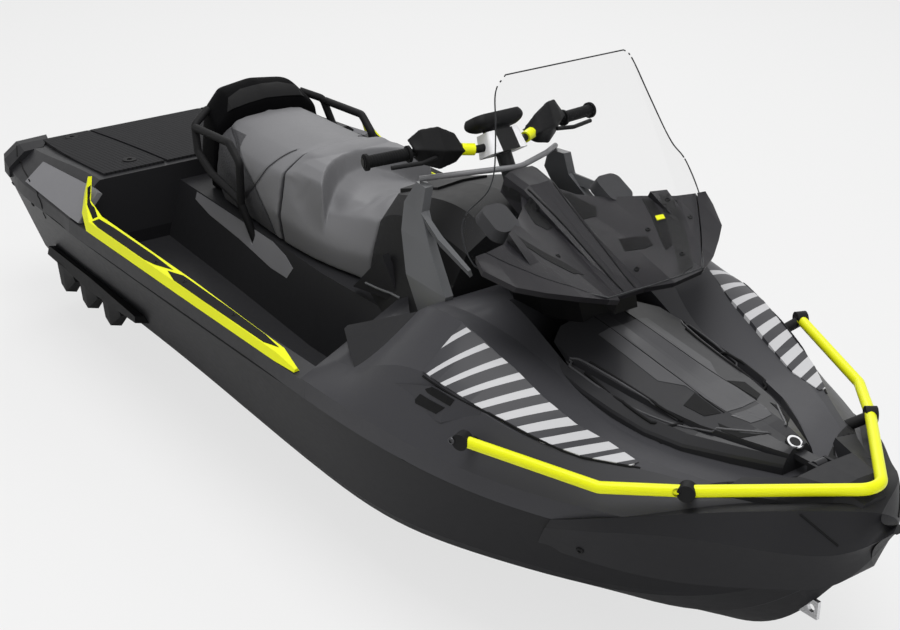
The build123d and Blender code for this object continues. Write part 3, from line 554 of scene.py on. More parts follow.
def rounded(points, rounds):
    """Cuts the corners off an open line, a little rounder each time."""
    for _ in range(rounds):
        cut = [points[0]]
        for a, b in zip(points, points[1:]):
            cut += [a.lerp(b, 0.25), a.lerp(b, 0.75)]
        points = cut + [points[-1]]
    return points


def laid(skin, points, rounds=2, step=0.008):
    """Points along a line, pulled onto a surface."""
    line = rounded([Vector(p) for p in points], rounds)
    steps = [line[0]]
    for a, b in zip(line, line[1:]):
        count = max(1, int((b - a).length / step))
        steps += [a.lerp(b, (i + 1) / count) for i in range(count)]
    return [skin.find_nearest(point)[0] for point in steps]


def beads(name, body, material, lines, radius):
    """Round beads along some lines of points: piping, joint lines, ridges or collars."""
    curve = bpy.data.curves.new(name, "CURVE")
    curve.dimensions = "3D"
    curve.bevel_depth = radius
    curve.bevel_resolution = 1 if radius < THIN_BEAD else 3
    curve.use_fill_caps = True
    for points in lines:
        spline = curve.splines.new("POLY")
        spline.points.add(len(points) - 1)
        for knot, point in zip(spline.points, points):
            knot.co = (*point, 1)
    add_piece(name, curve, body, material)


def joint_lines(name, body, material, skin, lines, radius, rounds=1):
    """Joints, ridges or trim on both sides of the craft, from their starboard points."""
    both = [line for points in lines for line in (points, mirrored(points))]
    beads(name, body, material, [laid(skin, line, rounds) for line in both], radius)


def screws(name, body, material, skin, places, radius):
    """Button-head screws with a hexagon socket, square to the surface."""
    heads = bmesh.new()
    for place in places:
        spot, facing, *_ = skin.find_nearest(Vector(place))
        turn = facing.to_track_quat("Z", "Y")
        rings = []
        for share, height in SCREW_PROFILE:
            ring = []
            for i in range(SCREW_SIDES):
                angle = 2 * math.pi * i / SCREW_SIDES
                reach = share * radius
                if share in SOCKET:
                    reach *= math.cos(HALF_FLAT) / math.cos(angle % (2 * HALF_FLAT) - HALF_FLAT)
                point = Vector((reach * math.cos(angle), reach * math.sin(angle), height * radius))
                ring.append(heads.verts.new(spot + turn @ point))
            rings.append(ring)
        for low, high in zip(rings, rings[1:]):
            for i in range(SCREW_SIDES):
                after = (i + 1) % SCREW_SIDES
                heads.faces.new((low[i], low[after], high[after], high[i]))
        heads.faces.new(rings[-1])
    mesh = bpy.data.meshes.new(name)
    heads.to_mesh(mesh)
    heads.free()
    add_piece(name, mesh, body, material)


# %% [markdown]
# ## Seat covers
# The seats are marine vinyl sewn over foam. Vinyl has a fine leather grain and a soft sheen, and
# the lower sides of the passenger seat have an embossed, darker cover. Grain and embossing are
# bumps: they are far finer than any mesh that would still be quick to handle.

# %% Vinyl
GRAIN_CELLS = 850.0
EMBOSSED_CELLS = 95.0


def vinyl(name, colour, roughness=0.52, embossed=False):
    material, shader, place = finish(name, colour, roughness)
    cloud = place.noise(5.0, 3.0)
    drive(shader, "Base Color", cloud.blend([c * 0.90 for c in colour], [c * 1.08 for c in colour]))
    drive(shader, "Roughness", (roughness - 0.05) + 0.1 * place.noise(SMUDGES, 3.0))
    skin_grain = place.cells(GRAIN_CELLS) * 0.6 + place.noise(400, 3.0) * 0.4
    fine = grain(shader, skin_grain, 0.35, 0.0004)
    if embossed:
        grain(shader, place.cells(EMBOSSED_CELLS).clamp(), 0.9, 0.0022, fine)
    return material


seat_vinyl = vinyl("seat_vinyl", SEAT_GREY)
seat_embossed = vinyl("seat_embossed_vinyl", SEAT_DARK, 0.66, embossed=True)
piping = plastic("piping_and_thread", srgb(46, 46, 48), 0.6, 0.002, 0.0002)
print("covers ready:", seat_vinyl.name, seat_embossed.name, piping.name)

# %% [markdown]
# ## Padding by simulation
# Foam under a sewn cover crowns between its seams. Modelling that by hand takes long, so the
# cover is simulated as cloth: the CAD cushion is remeshed evenly, its base and its end faces
# are pinned, a little pressure is let in, and after twenty frames the shape is kept. A cap on
# how far any point may move keeps the cushion in the room that the CAD gave it.

# %% Meshes of moulded and sewn pieces
def smooth(value):
    """A soft step from 0 to 1."""
    value = min(1.0, max(0.0, value))
    return value * value * (3 - 2 * value)


def evaluated(piece):
    """Mesh of a piece with its modifiers carried out."""
    bpy.context.view_layer.update()
    return bpy.data.meshes.new_from_object(piece.evaluated_get(bpy.context.evaluated_depsgraph_get()))


def settle(piece):
    """Makes what the modifiers do the piece's own mesh."""
    piece.data = evaluated(piece)
    piece.modifiers.clear()


def remesh(piece, voxel):
    even = piece.modifiers.new("even", "REMESH")
    even.mode = "VOXEL"
    even.voxel_size = voxel


def round_off(piece, rounds):
    rounder = piece.modifiers.new("rounder", "SMOOTH")
    rounder.factor = 0.5
    rounder.iterations = rounds


def copy_of(node, name, body):
    """Bare copy of a CAD node's mesh, as a piece."""
    piece = add_piece(name, nodes[node].data.copy(), body)
    piece.data.materials.clear()
    return piece


def shade_smooth(piece):
    for face in piece.data.polygons:
        face.use_smooth = True
    print(piece.name, len(piece.data.polygons), "faces")


# %% Cloth
FRAMES = 20
COVER_CELL, COVER_ROUNDS = 0.007, 20
SLIMMER = 0.005  # room left for the cloth to swell into
MOST = 0.012  # how far any point of the cover may move
BASE_BAND, END_BAND = 0.022, 0.012  # what is pinned, from the base and from each end
PRESSURE = 4.0
STRETCH_STIFFNESS, BENDING_STIFFNESS = 40.0, 10.0


def swell(piece, low, high):
    """Blows a piece up as cloth between its pinned base and ends."""
    start = [vertex.co.copy() for vertex in piece.data.vertices]
    pinned = [i for i, p in enumerate(start)
              if p.z < low.z + BASE_BAND or p.x < low.x + END_BAND or p.x > high.x - END_BAND]
    piece.vertex_groups.new(name="held").add(pinned, 1.0, "REPLACE")
    cloth = piece.modifiers.new("cover", "CLOTH")
    cloth.settings.use_pressure = True
    cloth.settings.uniform_pressure_force = PRESSURE
    cloth.settings.vertex_group_mass = "held"
    cloth.settings.tension_stiffness = STRETCH_STIFFNESS
    cloth.settings.compression_stiffness = STRETCH_STIFFNESS
    cloth.settings.bending_stiffness = BENDING_STIFFNESS
    cloth.settings.effector_weights.gravity = 0.0
    cloth.point_cache.frame_start = 1
    cloth.point_cache.frame_end = FRAMES
    for step in range(1, FRAMES + 1):
        scene.frame_set(step)
    blown = evaluated(piece)
    moves = []
    for vertex, old in zip(blown.vertices, start):
        move = vertex.co - old
        if move.length > MOST:
            vertex.co = old + move * (MOST / move.length)
        moves.append(move.length)
    piece.modifiers.clear()
    piece.data = blown
    print(piece.name, "swelled by up to %.1f mm" % (1000 * max(moves)))
    scene.frame_set(1)


def cushion(name, node):
    """Padded copy of a CAD seat."""
    low, high = [Vector(c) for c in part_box(node)]
    piece = copy_of(node, name, "craft")
    remesh(piece, COVER_CELL)
    thin = piece.modifiers.new("slimmer", "DISPLACE")
    thin.strength = -SLIMMER
    thin.mid_level = 0.0
    settle(piece)
    swell(piece, low, high)
    round_off(piece, COVER_ROUNDS)
    finer = piece.modifiers.new("finer", "SUBSURF")
    finer.levels = finer.render_levels = 1
    settle(piece)
    shade_smooth(piece)
    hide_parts(node)
    return piece


rider_seat = cushion("rider_seat_cover", "front_seat")
passenger_seat = cushion("passenger_seat_cover", "rear_seat")

# %% [markdown]
# ## Mouldings with soft edges
# The cap behind the passenger and the hand guards are injection moulded, with soft edges that
# CAD leaves sharp. The same remesh as the seats' makes an even mesh, and a few rounds of
# smoothing take the edges off without moving the flat parts.

# %% Rounded mouldings
def softened(name, node, body, material, voxel, rounds):
    piece = copy_of(node, name, body)
    remesh(piece, voxel)
    round_off(piece, rounds)
    settle(piece)
    shade_smooth(piece)
    piece.data.materials.append(material)
    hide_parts(node)


cap_black = plastic("cap_black", srgb(6, 6, 7), 0.8, 0.0016, 0.0002, specular=0.04)
softened("passenger_cap", "seat_rear_cap", "craft", cap_black, voxel=0.006, rounds=22)
softened("hand_guard_pair", "hand_guards", "steering", black_plastic, voxel=0.003, rounds=6)

# %% [markdown]
# ## The bolster behind the rider
# A crescent-shaped wall behind the rider stops them sliding back. It is sharper than cloth
# would make it, so it is shaped afterwards: each point near the top is lifted or dropped by
# what the new height asks for, and points lower down the side follow less and less.

# %% Bolster
# Each point of the crest: out from the centreline, from the stern, and up from the keel
CREST = [(0.0, 1.54, 0.889), (0.05, 1.547, 0.89), (0.1, 1.569, 0.889), (0.14, 1.597, 0.885),
         (0.17, 1.624, 0.875), (0.2, 1.655, 0.852), (0.26, 1.7, 0.8)]
BOLSTER_REAR, REAR_BLEND = 1.46, 0.06  # from the stern, as at the front
BOLSTER_FRONT, FRONT_BLEND_START, FRONT_BLEND = 1.78, 1.7, 0.07
BOLSTER_FOOT = 0.70  # from the keel
HORN_SIDE, HORN_BLEND = 0.195, 0.03
PROBE_SIDE = 0.20  # the top is measured no further out than this
HOLLOW_DEPTH, HOLLOW_LENGTH = 0.045, 0.12
HOLLOW_SIDE, HOLLOW_BLEND = 0.13, 0.08
WALL_START, WALL_LENGTH = 0.006, 0.022


def crest(side):
    """Where the bolster's edge lies, and how high, at a distance from the centreline."""
    for (y0, x0, z0), (y1, x1, z1) in zip(CREST, CREST[1:]):
        if side <= y1:
            share = (side - y0) / (y1 - y0)
            return x0 + (x1 - x0) * share - AFT, z0 + (z1 - z0) * share - WATERLINE
    return CREST[-1][1] - AFT, CREST[-1][2] - WATERLINE


def bolster_height(x, side, top):
    """Height of the seat's top once the bolster stands on it, from its height before."""
    edge, height = crest(side)
    ahead = x - edge
    rise = smooth((x + AFT - BOLSTER_REAR) / REAR_BLEND)
    lifted = top + max(0.0, height - top) * rise
    sides = 1 - smooth((side - HOLLOW_SIDE) / HOLLOW_BLEND)
    hollow = top - HOLLOW_DEPTH * (1 - smooth(ahead / HOLLOW_LENGTH)) * sides
    goal = lifted + (hollow - lifted) * smooth((ahead + WALL_START) / WALL_LENGTH)
    horn = 1 - smooth((side - HORN_SIDE) / HORN_BLEND)
    return top + (goal - top) * horn * (1 - smooth((x + AFT - FRONT_BLEND_START) / FRONT_BLEND))


def shape_bolster(piece):
    skin = surface(piece.data)
    foot = BOLSTER_FOOT - WATERLINE
    for vertex in piece.data.vertices:
        x, y, z = vertex.co
        if z < foot or x < BOLSTER_REAR - AFT or x > BOLSTER_FRONT - AFT:
            continue
        above = Vector((x, math.copysign(min(abs(y), PROBE_SIDE), y), 1.0))
        top = skin.ray_cast(above, Vector((0, 0, -1)))[0]
        if top is None:
            continue
        change = bolster_height(x, abs(y), top.z) - top.z
        vertex.co.z = z + change * smooth((z - foot) / (top.z - foot))
    piece.data.update()
    round_off(piece, 3)
    settle(piece)
    print("bolster shaped on", piece.name)


def tuck(piece, length=0.07, drop=0.008):
    """Lowers the front of the cover so that it slips under the console's edge."""
    front = max(vertex.co.x for vertex in piece.data.vertices)
    for vertex in piece.data.vertices:
        vertex.co.z -= drop * smooth((vertex.co.x - front + length) / length)


shape_bolster(rider_seat)
tuck(rider_seat)
rider_seat.data.materials.append(seat_vinyl)
passenger_seat.data.materials.append(seat_vinyl)

# %% [markdown]
# ## Embossed sides of the passenger seat
# The lower sides are a second cover, sewn to the first along a stepped line. Faces under that
# line get the darker vinyl, and the seam that follows later hides the change.

# %% Embossed sides
# From the stern and from the keel
EMBOSSED_TOP = [(0.95, 0.925), (1.087, 0.893), (1.156, 0.812), (1.262, 0.759), (1.367, 0.672),
                (1.391, 0.594)]
EMBOSSED_SIDE = 0.15


def below_embossed_top(point):
    x, z = point.x + AFT, point.z + WATERLINE
    for (x0, z0), (x1, z1) in zip(EMBOSSED_TOP, EMBOSSED_TOP[1:]):
        if x0 <= x < x1:
            return z < z0 + (z1 - z0) * (x - x0) / (x1 - x0) and abs(point.y) > EMBOSSED_SIDE
    return False


def paint(piece, material, test):
    """Gives the faces whose middles pass a test another cover."""
    piece.data.materials.append(material)
    painted = [face for face in piece.data.polygons if test(face.center)]
    for face in painted:
        face.material_index = len(piece.data.materials) - 1
    print(len(painted), "faces of", piece.name, "have", material.name)


paint(passenger_seat, seat_embossed, below_embossed_top)

# %% [markdown]
# ## Seams and piping
# Seams come after the cloth, because the remesh would lose them. Each seam pinches the cover
# along its line by a few millimetres, then gets a bead of piping. Its line is given for the
# starboard side, from the stern and from the keel.

# %% Seams
SEAM_RADIUS, PIPING_RADIUS = 0.0016, 0.0034


def pinch(piece, line, depth=0.004, reach=0.012):
    """Pulls the cover in along a line."""
    steps = [a.lerp(b, i / 4) for a, b in zip(line, line[1:]) for i in range(4)]
    tree = KDTree(len(steps))
    for i, point in enumerate(steps):
        tree.insert(point, i)
    tree.balance()
    low = [min(p[k] for p in steps) - reach for k in range(3)]
    high = [max(p[k] for p in steps) + reach for k in range(3)]
    near = [v for v in piece.data.vertices if all(low[k] < v.co[k] < high[k] for k in range(3))]
    inward = [-depth * vertex.normal for vertex in near]
    for vertex, move in zip(near, inward):
        away = tree.find(vertex.co)[2]
        if away < reach:
            vertex.co += move * (1 - smooth(away / reach))
    piece.data.update()


def seam(name, piece, drawn, radius):
    """Pinches both sides of a seat along a line and lays piping there."""
    skin = surface(piece.data)
    points = [local(*point) for point in drawn]
    for label, line in (("starboard", points), ("port", mirrored(points))):
        path = laid(skin, line)
        pinch(piece, path)
        beads("%s_%s" % (name, label), "craft", piping, [path], radius)


seam("passenger_side_seam", passenger_seat,
     [(1.196, -0.235, 0.671), (1.31, -0.22, 0.77), (1.347, -0.21, 0.836), (1.363, -0.16, 0.884),
      (1.372, -0.12, 0.893)], SEAM_RADIUS)
seam("embossed_panel_seam", passenger_seat,
     [(1.01, -0.17, 0.895), (1.087, -0.2, 0.88), (1.156, -0.21, 0.812), (1.262, -0.235, 0.759),
      (1.367, -0.24, 0.672), (1.391, -0.23, 0.61)], SEAM_RADIUS)
seam("rider_rear_piping", rider_seat,
     [(1.446, -0.232, 0.615), (1.446, -0.24, 0.7), (1.446, -0.215, 0.835), (1.446, -0.134, 0.885),
      (1.446, 0.0, 0.893)], PIPING_RADIUS)

# %% [markdown]
# ## Trim on the rails, fenders and pedestal
# The coloured rails hold black rubber treads. The fender vents open in two slots, drawn as dark
# plates of painted shade, and a paler plate on each side of the seat's pedestal is a painted
# highlight on that lit facet. All of them are thin plates on skins that are there already, so
# each is a polygon of a few corners, given for the starboard side. From here on, places are
# measured in the craft's own frame.

# %% Trim materials
tread_rubber = plastic("tread_rubber", BLACK, 0.75, 0.0012, 0.0003)
# Dark plates that paint the shade in slots, openings, cuts and recesses: painted shade.
painted_recess_shade = plastic("painted_recess_shade", srgb(12, 12, 13), 0.7, 0.002, 0.0001)
# Paler grey for the pedestal's lit facet: a painted highlight.
pedestal_highlight_grey = plastic("pedestal_painted_highlight", srgb(116, 116, 119), 0.42, 0.003, 0.00005, coat=0.2)
joint_black = plastic("joint_black", srgb(14, 14, 15), 0.8, 0.002, 0.0)
print("trim in", tread_rubber.name, painted_recess_shade.name, pedestal_highlight_grey.name, joint_black.name)

# %% Rail treads
rails = surface("footwell_rail_port", "footwell_rail_starboard")
two_plates("rail_tread_front", "craft", tread_rubber, rails,
           [(-0.47, -0.598, 0.309), (-0.4, -0.58, 0.313), (-0.1, -0.584, 0.31), (0.1, -0.59, 0.308),
            (0.19, -0.6, 0.306), (0.13, -0.614, 0.303), (-0.22, -0.615, 0.305), (-0.4, -0.614, 0.307)])
two_plates("rail_tread_rear", "craft", tread_rubber, rails,
           [(-0.46, -0.584, 0.312), (-0.54, -0.606, 0.309), (-0.6, -0.613, 0.308), (-0.93, -0.612, 0.31),
            (-0.985, -0.606, 0.314), (-0.985, -0.582, 0.322), (-0.88, -0.577, 0.316), (-0.6, -0.578, 0.313)])
two_plates("rail_tread_arm", "craft", tread_rubber, rails,
           [(-0.995, -0.6, 0.32), (-1.05, -0.59, 0.35), (-1.088, -0.566, 0.392), (-1.088, -0.552, 0.4),
            (-1.05, -0.572, 0.362), (-0.995, -0.583, 0.326)])
screws("tread_studs", "craft", black_plastic, rails,
       [(x, s * 0.596, 0.31) for x in (-0.55, -0.365, -0.068) for s in (-1, 1)], radius=0.007)

# %% Vent slots of painted shade and the pedestal's painted highlight
vents = surface("fender_vents", "deck")
# Painted shade: the vents' two slots are dark plates where the openings are.
two_plates("vent_slot_low", "craft", painted_recess_shade, vents,
           [(0.785, -0.56, 0.381), (0.799, -0.554, 0.4), (0.89, -0.543, 0.396), (0.867, -0.554, 0.373),
            (0.79, -0.562, 0.373)])
two_plates("vent_slot_high", "craft", painted_recess_shade, vents,
           [(0.814, -0.549, 0.418), (0.837, -0.545, 0.433), (0.856, -0.534, 0.429), (0.909, -0.528, 0.421),
            (0.901, -0.537, 0.404), (0.827, -0.55, 0.413)])
# Painted highlight: a paler plate on the lit facet of each side of the pedestal.
two_plates("pedestal_lit_facet", "craft", pedestal_highlight_grey, surface("deck"),
           [(-1.0, -0.213, 0.3), (-0.883, -0.225, 0.281), (-0.664, -0.235, 0.268), (-0.436, -0.255, 0.246),
            (-0.331, -0.259, 0.248), (-0.305, -0.251, 0.287), (-0.36, -0.243, 0.31), (-0.45, -0.238, 0.326),
            (-1.0, -0.21, 0.326)])

# %% [markdown]
# ## Black plate at the stem
# Ahead of the hood the deck carries a black guard between the ends of the rail. It follows the
# deck's crown, so it is one more pressed plate, in the shape of a crescent.

# %% Stem guard
outer = across([(1.47, -0.29, 0.33), (1.53, -0.235, 0.34), (1.62, -0.15, 0.34), (1.69, -0.055, 0.335)])
inner = [(1.505, 0.19, 0.34), (1.56, 0.09, 0.344), (1.58, 0.0, 0.344), (1.56, -0.09, 0.344),
         (1.505, -0.19, 0.34)]
plate("stem_guard", "craft", black_plastic, surface("deck", "bow_bumper"), outer + inner, lift=0.003)

# %% [markdown]
# ## Joint lines and screws
# Where two mouldings meet, the eye sees a thin dark line. A fine black bead, half sunk in the
# skins, draws it without cutting any mesh. Screws get a real head with a socket, because a
# close view shows them.

# %% Joints on hull and deck
fenders = surface("fender_panel_port", "fender_panel_starboard", "deck")
stern = surface("deck", "hull", "stern_corners", "side_panels", "bow_bumper")
bumper = surface("bow_bumper")
joint_lines("fender_panel_joints", "craft", joint_black, fenders,
            [[(0.782, -0.533, 0.437), (0.847, -0.528, 0.429), (0.916, -0.517, 0.421), (0.973, -0.503, 0.416),
              (1.033, -0.484, 0.408), (1.088, -0.467, 0.396), (1.153, -0.443, 0.383), (1.212, -0.414, 0.369),
              (1.274, -0.375, 0.366), (1.352, -0.319, 0.364)]], radius=0.003)
joint_lines("stern_quarter_joints", "craft", joint_black, stern,
            [[(-1.8, -0.52, 0.335), (-1.705, -0.552, 0.3), (-1.53, -0.589, 0.29), (-1.414, -0.604, 0.275),
              (-1.374, -0.614, 0.243), (-1.394, -0.599, 0.196)]], radius=0.0026)
joint_lines("bumper_joints", "craft", joint_black, bumper,
            [[(1.705, -0.162, 0.356), (1.735, -0.143, 0.331), (1.772, -0.103, 0.285)]], radius=0.0028)
joint_lines("gunwale_joint", "craft", joint_black, surface("hull", "deck"),
            [[(-1.72, -0.585, 0.23), (-1.25, -0.622, 0.23), (-0.6, -0.63, 0.23), (0.3, -0.63, 0.23),
              (0.75, -0.613, 0.23), (0.94, -0.583, 0.23), (1.05, -0.553, 0.23)]], radius=0.003)

# %% Screws on hull and rail
screws("quarter_screws", "craft", black_plastic, stern,
       [(-1.495, s * 0.601, 0.218) for s in (-1, 1)], radius=0.009)
screws("bumper_screws", "craft", black_plastic, bumper,
       [(1.286, s * 0.437, 0.15) for s in (-1, 1)], radius=0.01)
screws("clamp_screws", "craft", metal("blackened_steel", srgb(70, 70, 72), 0.4), surface("rail_clamps"),
       [(x, s * y, z) for x, y, z in ((1.02, 0.66, 0.377), (1.508, 0.36, 0.372)) for s in (-1, 1)],
       radius=0.009)

# %% [markdown]
# ## Bright trim round the console and collars on the bar
# A thin silver line outlines the black triangle ahead of the seat, and two coloured collars
# sit on the bar beside the clamp. Both are beads along short paths.

# %% Console trim and bar collars
frame_silver = nodes["console_frame_port"].data.materials[0]
neon_paint = nodes["bow_rail"].data.materials[0]
console_skins = surface("console", "side_frames", "console_frame_starboard", "console_frame_port")
joint_lines("knee_trim", "craft", frame_silver, console_skins,
            [[(0.115, -0.258, 0.387), (0.193, -0.258, 0.392), (0.302, -0.268, 0.408)]], radius=0.004)
COLLAR_RADIUS = 0.0165
collars = [[(0.4049, s * 0.088, 0.8388), (0.3915, s * 0.122, 0.8422)] for s in (-1, 1)]
beads("bar_collars", "steering", neon_paint, collars, COLLAR_RADIUS)

# %% [markdown]
# ## Cap behind the passenger
# The hump behind the passenger has a scooped face. Painting the scoop as a dark, matt plate
# reads as depth from every side, because almost no light would reach the real one.

# %% Cap
plate("cap_scoop", "craft", painted_recess_shade, surface("seat_rear_cap"),
      [(-0.86, -0.15, 0.634), (-0.888, -0.129, 0.672), (-0.907, -0.071, 0.688), (-0.903, 0.0, 0.693),
       (-0.907, 0.071, 0.688), (-0.888, 0.129, 0.672), (-0.86, 0.15, 0.634), (-0.857, 0.071, 0.652),
       (-0.857, 0.0, 0.658), (-0.857, -0.071, 0.652)], cell=0.008)

# %% [markdown]
# ## Hood
# The front lid is a glossy moulding between matt ones. Dark slots run along its sides with a
# ridge beside each. A paler grey on the ridges, down its middle and on its flat nose is a
# painted highlight. Dark plates paint the shade in a cut on each side and under the lip at the nose.

# %% Hood lines
hood = surface("front_hood")
# Painted highlight: a paler grey for the lid's lit ridges, middle and nose.
hood_highlight_grey = plastic("hood_centre_highlight", srgb(66, 66, 68), 0.38, 0.003, 0.00004, coat=0.15)
joint_lines("hood_slots", "front_lid", joint_black, hood,
            [[(0.993, -0.166, 0.452), (1.059, -0.158, 0.443), (1.162, -0.15, 0.43), (1.23, -0.146, 0.419),
              (1.298, -0.134, 0.406)],
             [(0.998, -0.186, 0.43), (1.055, -0.186, 0.419), (1.145, -0.2, 0.419), (1.215, -0.197, 0.406),
              (1.262, -0.191, 0.398), (1.3, -0.135, 0.399)]], radius=0.0042)
# The ridges are beads in the painted-highlight grey.
joint_lines("hood_ridges", "front_lid", hood_highlight_grey, hood,
            [[(0.945, -0.191, 0.452), (0.981, -0.173, 0.453), (1.23, -0.146, 0.419), (1.284, -0.137, 0.404)],
             [(0.945, -0.198, 0.447), (1.081, -0.208, 0.422), (1.252, -0.165, 0.396), (1.346, -0.124, 0.399),
              (1.474, -0.03, 0.412)]], radius=0.0032, rounds=2)
joint_lines("hood_creases", "front_lid", joint_black, hood,
            [[(0.867, -0.045, 0.498), (1.027, -0.046, 0.474), (1.168, -0.046, 0.452), (1.247, -0.05, 0.442),
              (1.313, -0.056, 0.436), (1.357, -0.056, 0.431)]], radius=0.0018)

# %% Hood plates
# Painted shade: dark plates in the cut on each side.
two_plates("hood_cut", "front_lid", painted_recess_shade, hood,
           [(1.255, -0.056, 0.44), (1.308, -0.06, 0.436), (1.352, -0.062, 0.43), (1.331, -0.096, 0.421),
            (1.268, -0.105, 0.427)])
# Painted highlight down the middle and on the nose.
plate("hood_centre", "front_lid", hood_highlight_grey, hood,
      across([(0.93, -0.085, 0.485), (1.16, -0.09, 0.44), (1.22, -0.055, 0.444), (1.36, -0.05, 0.431)]))
plate("hood_nose", "front_lid", hood_highlight_grey, hood, across([(1.375, -0.052, 0.43), (1.425, -0.036, 0.425)]))
# Painted shade under the lip at the nose, where the hood meets the deck.
two_plates("hood_lip", "front_lid", painted_recess_shade, hood,
           [(1.37, -0.089, 0.417), (1.432, -0.072, 0.411), (1.47, -0.04, 0.411), (1.478, -0.02, 0.408),
            (1.44, -0.085, 0.405), (1.393, -0.1, 0.408)])

# %% [markdown]
# ## Fairing below the windshield
# The fairing is one broad panel with a spine and a groove along it. Openings and air slots lie
# on both sides, drawn as dark plates of painted shade. The port side alone has a recessed box,
# its shade painted the same way, a dark strip and one coloured tab.

# %% Fairing details
fairing = surface("screen_fairing", "mirror_pods")
strip_dark = plastic("fairing_strip", srgb(18, 18, 19), 0.5)
plate("fairing_strip", "front_lid", strip_dark, fairing,
      [(0.778, 0.25, 0.745), (0.808, 0.288, 0.731), (0.937, 0.209, 0.676), (1.018, 0.15, 0.642),
       (1.012, 0.115, 0.625), (0.944, 0.154, 0.663), (0.82, 0.23, 0.713)])
# Painted shade in the openings.
two_plates("fairing_opening", "front_lid", painted_recess_shade, fairing,
           [(0.748, -0.218, 0.73), (0.775, -0.232, 0.735), (0.855, -0.21, 0.7), (0.928, -0.172, 0.673),
            (0.928, -0.14, 0.662), (0.892, -0.154, 0.675), (0.811, -0.194, 0.707)])
# Painted shade in the recessed box.
plate("fairing_box", "front_lid", painted_recess_shade, fairing,
      [(0.813, 0.078, 0.672), (0.839, 0.112, 0.68), (0.862, 0.132, 0.686), (0.892, 0.126, 0.672),
       (0.885, 0.104, 0.664), (0.85, 0.068, 0.653)])
plate("fairing_tab", "front_lid", plastic("tab_neon", NEON, 0.4, mottle=0.03), fairing,
      [(0.819, 0.2, 0.706), (0.828, 0.22, 0.709), (0.842, 0.215, 0.704), (0.834, 0.194, 0.7)], lift=0.004)
# Painted shade in the air slots.
two_plates("fairing_slot_high", "front_lid", painted_recess_shade, fairing,
           [(0.499, -0.063, 0.761), (0.543, -0.056, 0.758), (0.575, -0.054, 0.748), (0.564, -0.062, 0.728),
            (0.512, -0.072, 0.732)])
two_plates("fairing_slot_low", "front_lid", painted_recess_shade, fairing,
           [(0.612, -0.08, 0.736), (0.595, -0.053, 0.739), (0.642, -0.05, 0.722), (0.7, -0.052, 0.695),
            (0.716, -0.086, 0.702), (0.69, -0.105, 0.716)])

# %% Fairing groove and screws
joint_lines("fairing_grooves", "front_lid", joint_black, fairing,
            [[(0.582, -0.043, 0.766), (0.646, -0.036, 0.738), (0.706, -0.03, 0.71), (0.801, -0.026, 0.662),
              (0.897, -0.022, 0.614), (0.946, -0.02, 0.592)]], radius=0.0026)
screws("fairing_screws", "front_lid", black_plastic, fairing,
       [(0.906, 0.061, 0.62), (0.871, 0.278, 0.704), (0.842, 0.154, 0.688), (0.805, 0.256, 0.737),
        (0.969, 0.158, 0.66), (0.842, -0.154, 0.688)], radius=0.007)

# %% [markdown]
# ## Edge of the windshield
# Clear sheet shows itself by its cut edge, which gathers light and looks dark against a pale
# background. The edge is found in the mesh: the outline edges are those where two faces meet
# at a sharp angle.

# %% Windshield edge
SHARP = 1.2  # angle between two faces at the sheet's outline, in radians
SHORTEST_EDGE = 0.006  # shorter ones get no bead
WELD = 1e-5


def sharp_edges(node):
    """Both ends of each sharp edge of a CAD node."""
    probe = bmesh.new()
    probe.from_mesh(nodes[node].data)
    bmesh.ops.remove_doubles(probe, verts=probe.verts, dist=WELD)
    sharp = [e for e in probe.edges if len(e.link_faces) == 2 and e.calc_face_angle(0) > SHARP]
    ends = [[v.co.copy() for v in e.verts] for e in sharp if e.calc_length() > SHORTEST_EDGE]
    probe.free()
    return ends


EDGE_RADIUS = 0.0019
edge_dark = plastic("acrylic_edge", srgb(38, 39, 41), 0.3)

# %% Windshield sheet
TOUCHING = 0.0025
STAND_OFF = 0.0018


def windshield_sheet():
    """The windshield, lifted off the fairing where its foot lies on it."""
    foot = surface("screen_fairing")
    mesh = nodes["windshield"].data.copy()
    mesh.materials.clear()
    for vertex in mesh.vertices:
        facing, _, away = foot.find_nearest(vertex.co)[1:]
        if away < TOUCHING:
            vertex.co += facing * STAND_OFF
    piece = add_piece("windshield_sheet", mesh, "front_lid", clear_acrylic)
    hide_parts("windshield")


windshield_sheet()
beads("windshield_edge", "front_lid", edge_dark, sharp_edges("windshield"), EDGE_RADIUS)

# %% [markdown]
# ## Light, floor and camera
# A soft studio: a pale world, one large lamp above, a weak one ahead and one behind. The floor
# sits just under the keel's lowest point. The camera sees it mostly as pale as the background,
# and the rest of the mix keeps the craft's shadow.

# %% Floor
BACKGROUND = (0.871, 0.871, 0.871, 1)
FLOOR_COLOUR = (0.82, 0.82, 0.82)
FLOOR_REACH = 30.0
FLOOR_GAP = 0.0005
FLOOR_GLOW = 0.82  # how much of it the camera sees as background


def floor():
    reach, z = FLOOR_REACH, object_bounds()[0][2] - FLOOR_GAP
    mesh = bpy.data.meshes.new("floor")
    mesh.from_pydata([(-reach, -reach, z), (reach, -reach, z), (reach, reach, z), (-reach, reach, z)],
                     [], [(0, 1, 2, 3)])
    piece = bpy.data.objects.new("floor", mesh)
    scene.collection.objects.link(piece)
    material, shader, place = finish("studio_floor", FLOOR_COLOUR, 0.9)
    glow = place.node("ShaderNodeEmission", None, {"Color": BACKGROUND, "Strength": 1.0})
    seen = place.node("ShaderNodeLightPath", None, None, "Is Camera Ray")
    lit = Wire(place.tree, shader.outputs[0])
    both = place.node("ShaderNodeMixShader", None, {0: seen * FLOOR_GLOW, 1: lit, 2: glow})
    place.tree.links.new(both.socket, place.tree.nodes["Material Output"].inputs["Surface"])
    mesh.materials.append(material)
    piece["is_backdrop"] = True
    print("floor at %.4f m" % z)


floor()


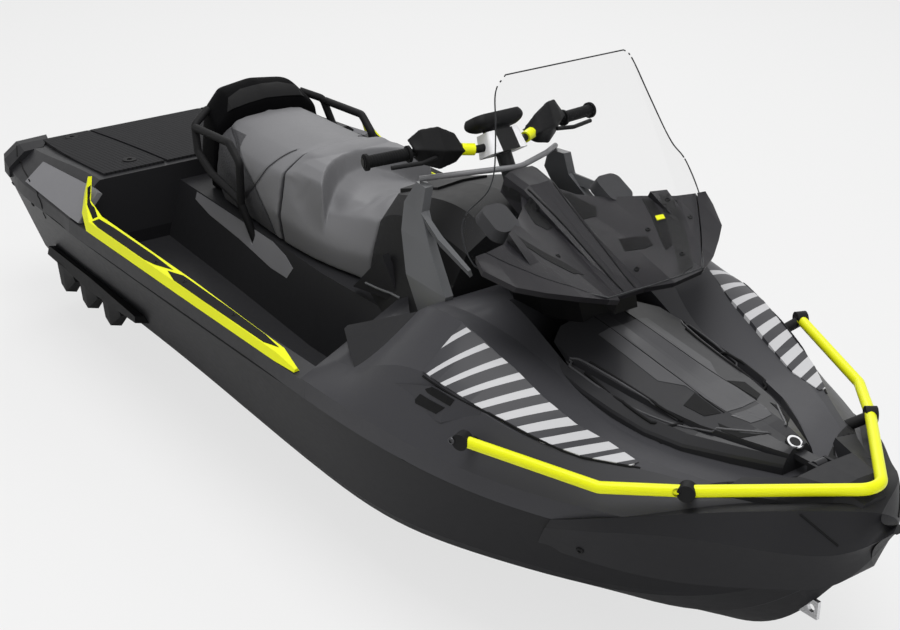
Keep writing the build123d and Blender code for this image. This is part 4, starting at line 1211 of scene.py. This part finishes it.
# %% Lamps
def lamp(name, place, target, size, watts):
    light = bpy.data.lights.new(name, "AREA")
    light.shape = "DISK"
    light.size = size
    light.energy = watts
    piece = bpy.data.objects.new(name, light)
    scene.collection.objects.link(piece)
    piece.location = place
    piece.rotation_euler = (Vector(target) - Vector(place)).to_track_quat("-Z", "Y").to_euler()
    print(name, "lamp,", watts, "W")


lamp("key", (1.0, -0.6, 6.2), (0, 0, 0.2), size=4.5, watts=300)
lamp("fill", (6.0, -1.5, 2.5), (0, 0, 0.3), size=4.0, watts=55)
lamp("back", (-4.0, 3.5, 4.5), (0, 0, 0.3), size=4.0, watts=120)

# %% World
WORLD_LIGHT = 0.62  # what the craft gets; the camera and mirrors see 1
world = bpy.data.worlds.new("studio")
scene.world = world
world.use_nodes = True
backdrop = world.node_tree.nodes["Background"]
backdrop.inputs["Color"].default_value = BACKGROUND
seen = Wire(world.node_tree).node("ShaderNodeLightPath", None, None, "Is Camera Ray")
in_gloss = seen.node("ShaderNodeLightPath", None, None, "Is Glossy Ray")
through_glass = seen.node("ShaderNodeLightPath", None, None, "Is Transmission Ray")
strength = WORLD_LIGHT + (1 - WORLD_LIGHT) * (seen + in_gloss + through_glass).clamp()
strength.tree.links.new(strength.socket, backdrop.inputs["Strength"])
scene.view_settings.view_transform = "Standard"
print("world lights the craft at", WORLD_LIGHT)

# %% Camera
EYE = Vector((3.7575, -2.6543, 2.27))
TURN, TILT, ROLL = 53.456, 24.509, 0.106  # degrees
turn, tilt, roll = [math.radians(angle) for angle in (TURN, TILT, ROLL)]
aim = Vector((-math.sin(turn) * math.cos(tilt), math.cos(turn) * math.cos(tilt), -math.sin(tilt)))
lens = bpy.data.cameras.new("camera")
lens.sensor_width = 36.0
lens.lens = 65.5
camera = bpy.data.objects.new("camera", lens)
scene.collection.objects.link(camera)
camera.location = EYE
camera.rotation_euler = (aim.to_track_quat("-Z", "Y").to_matrix() @ Matrix.Rotation(roll, 3, "Z")).to_euler()
scene.camera = camera
print("camera looks along", [round(v, 3) for v in aim])
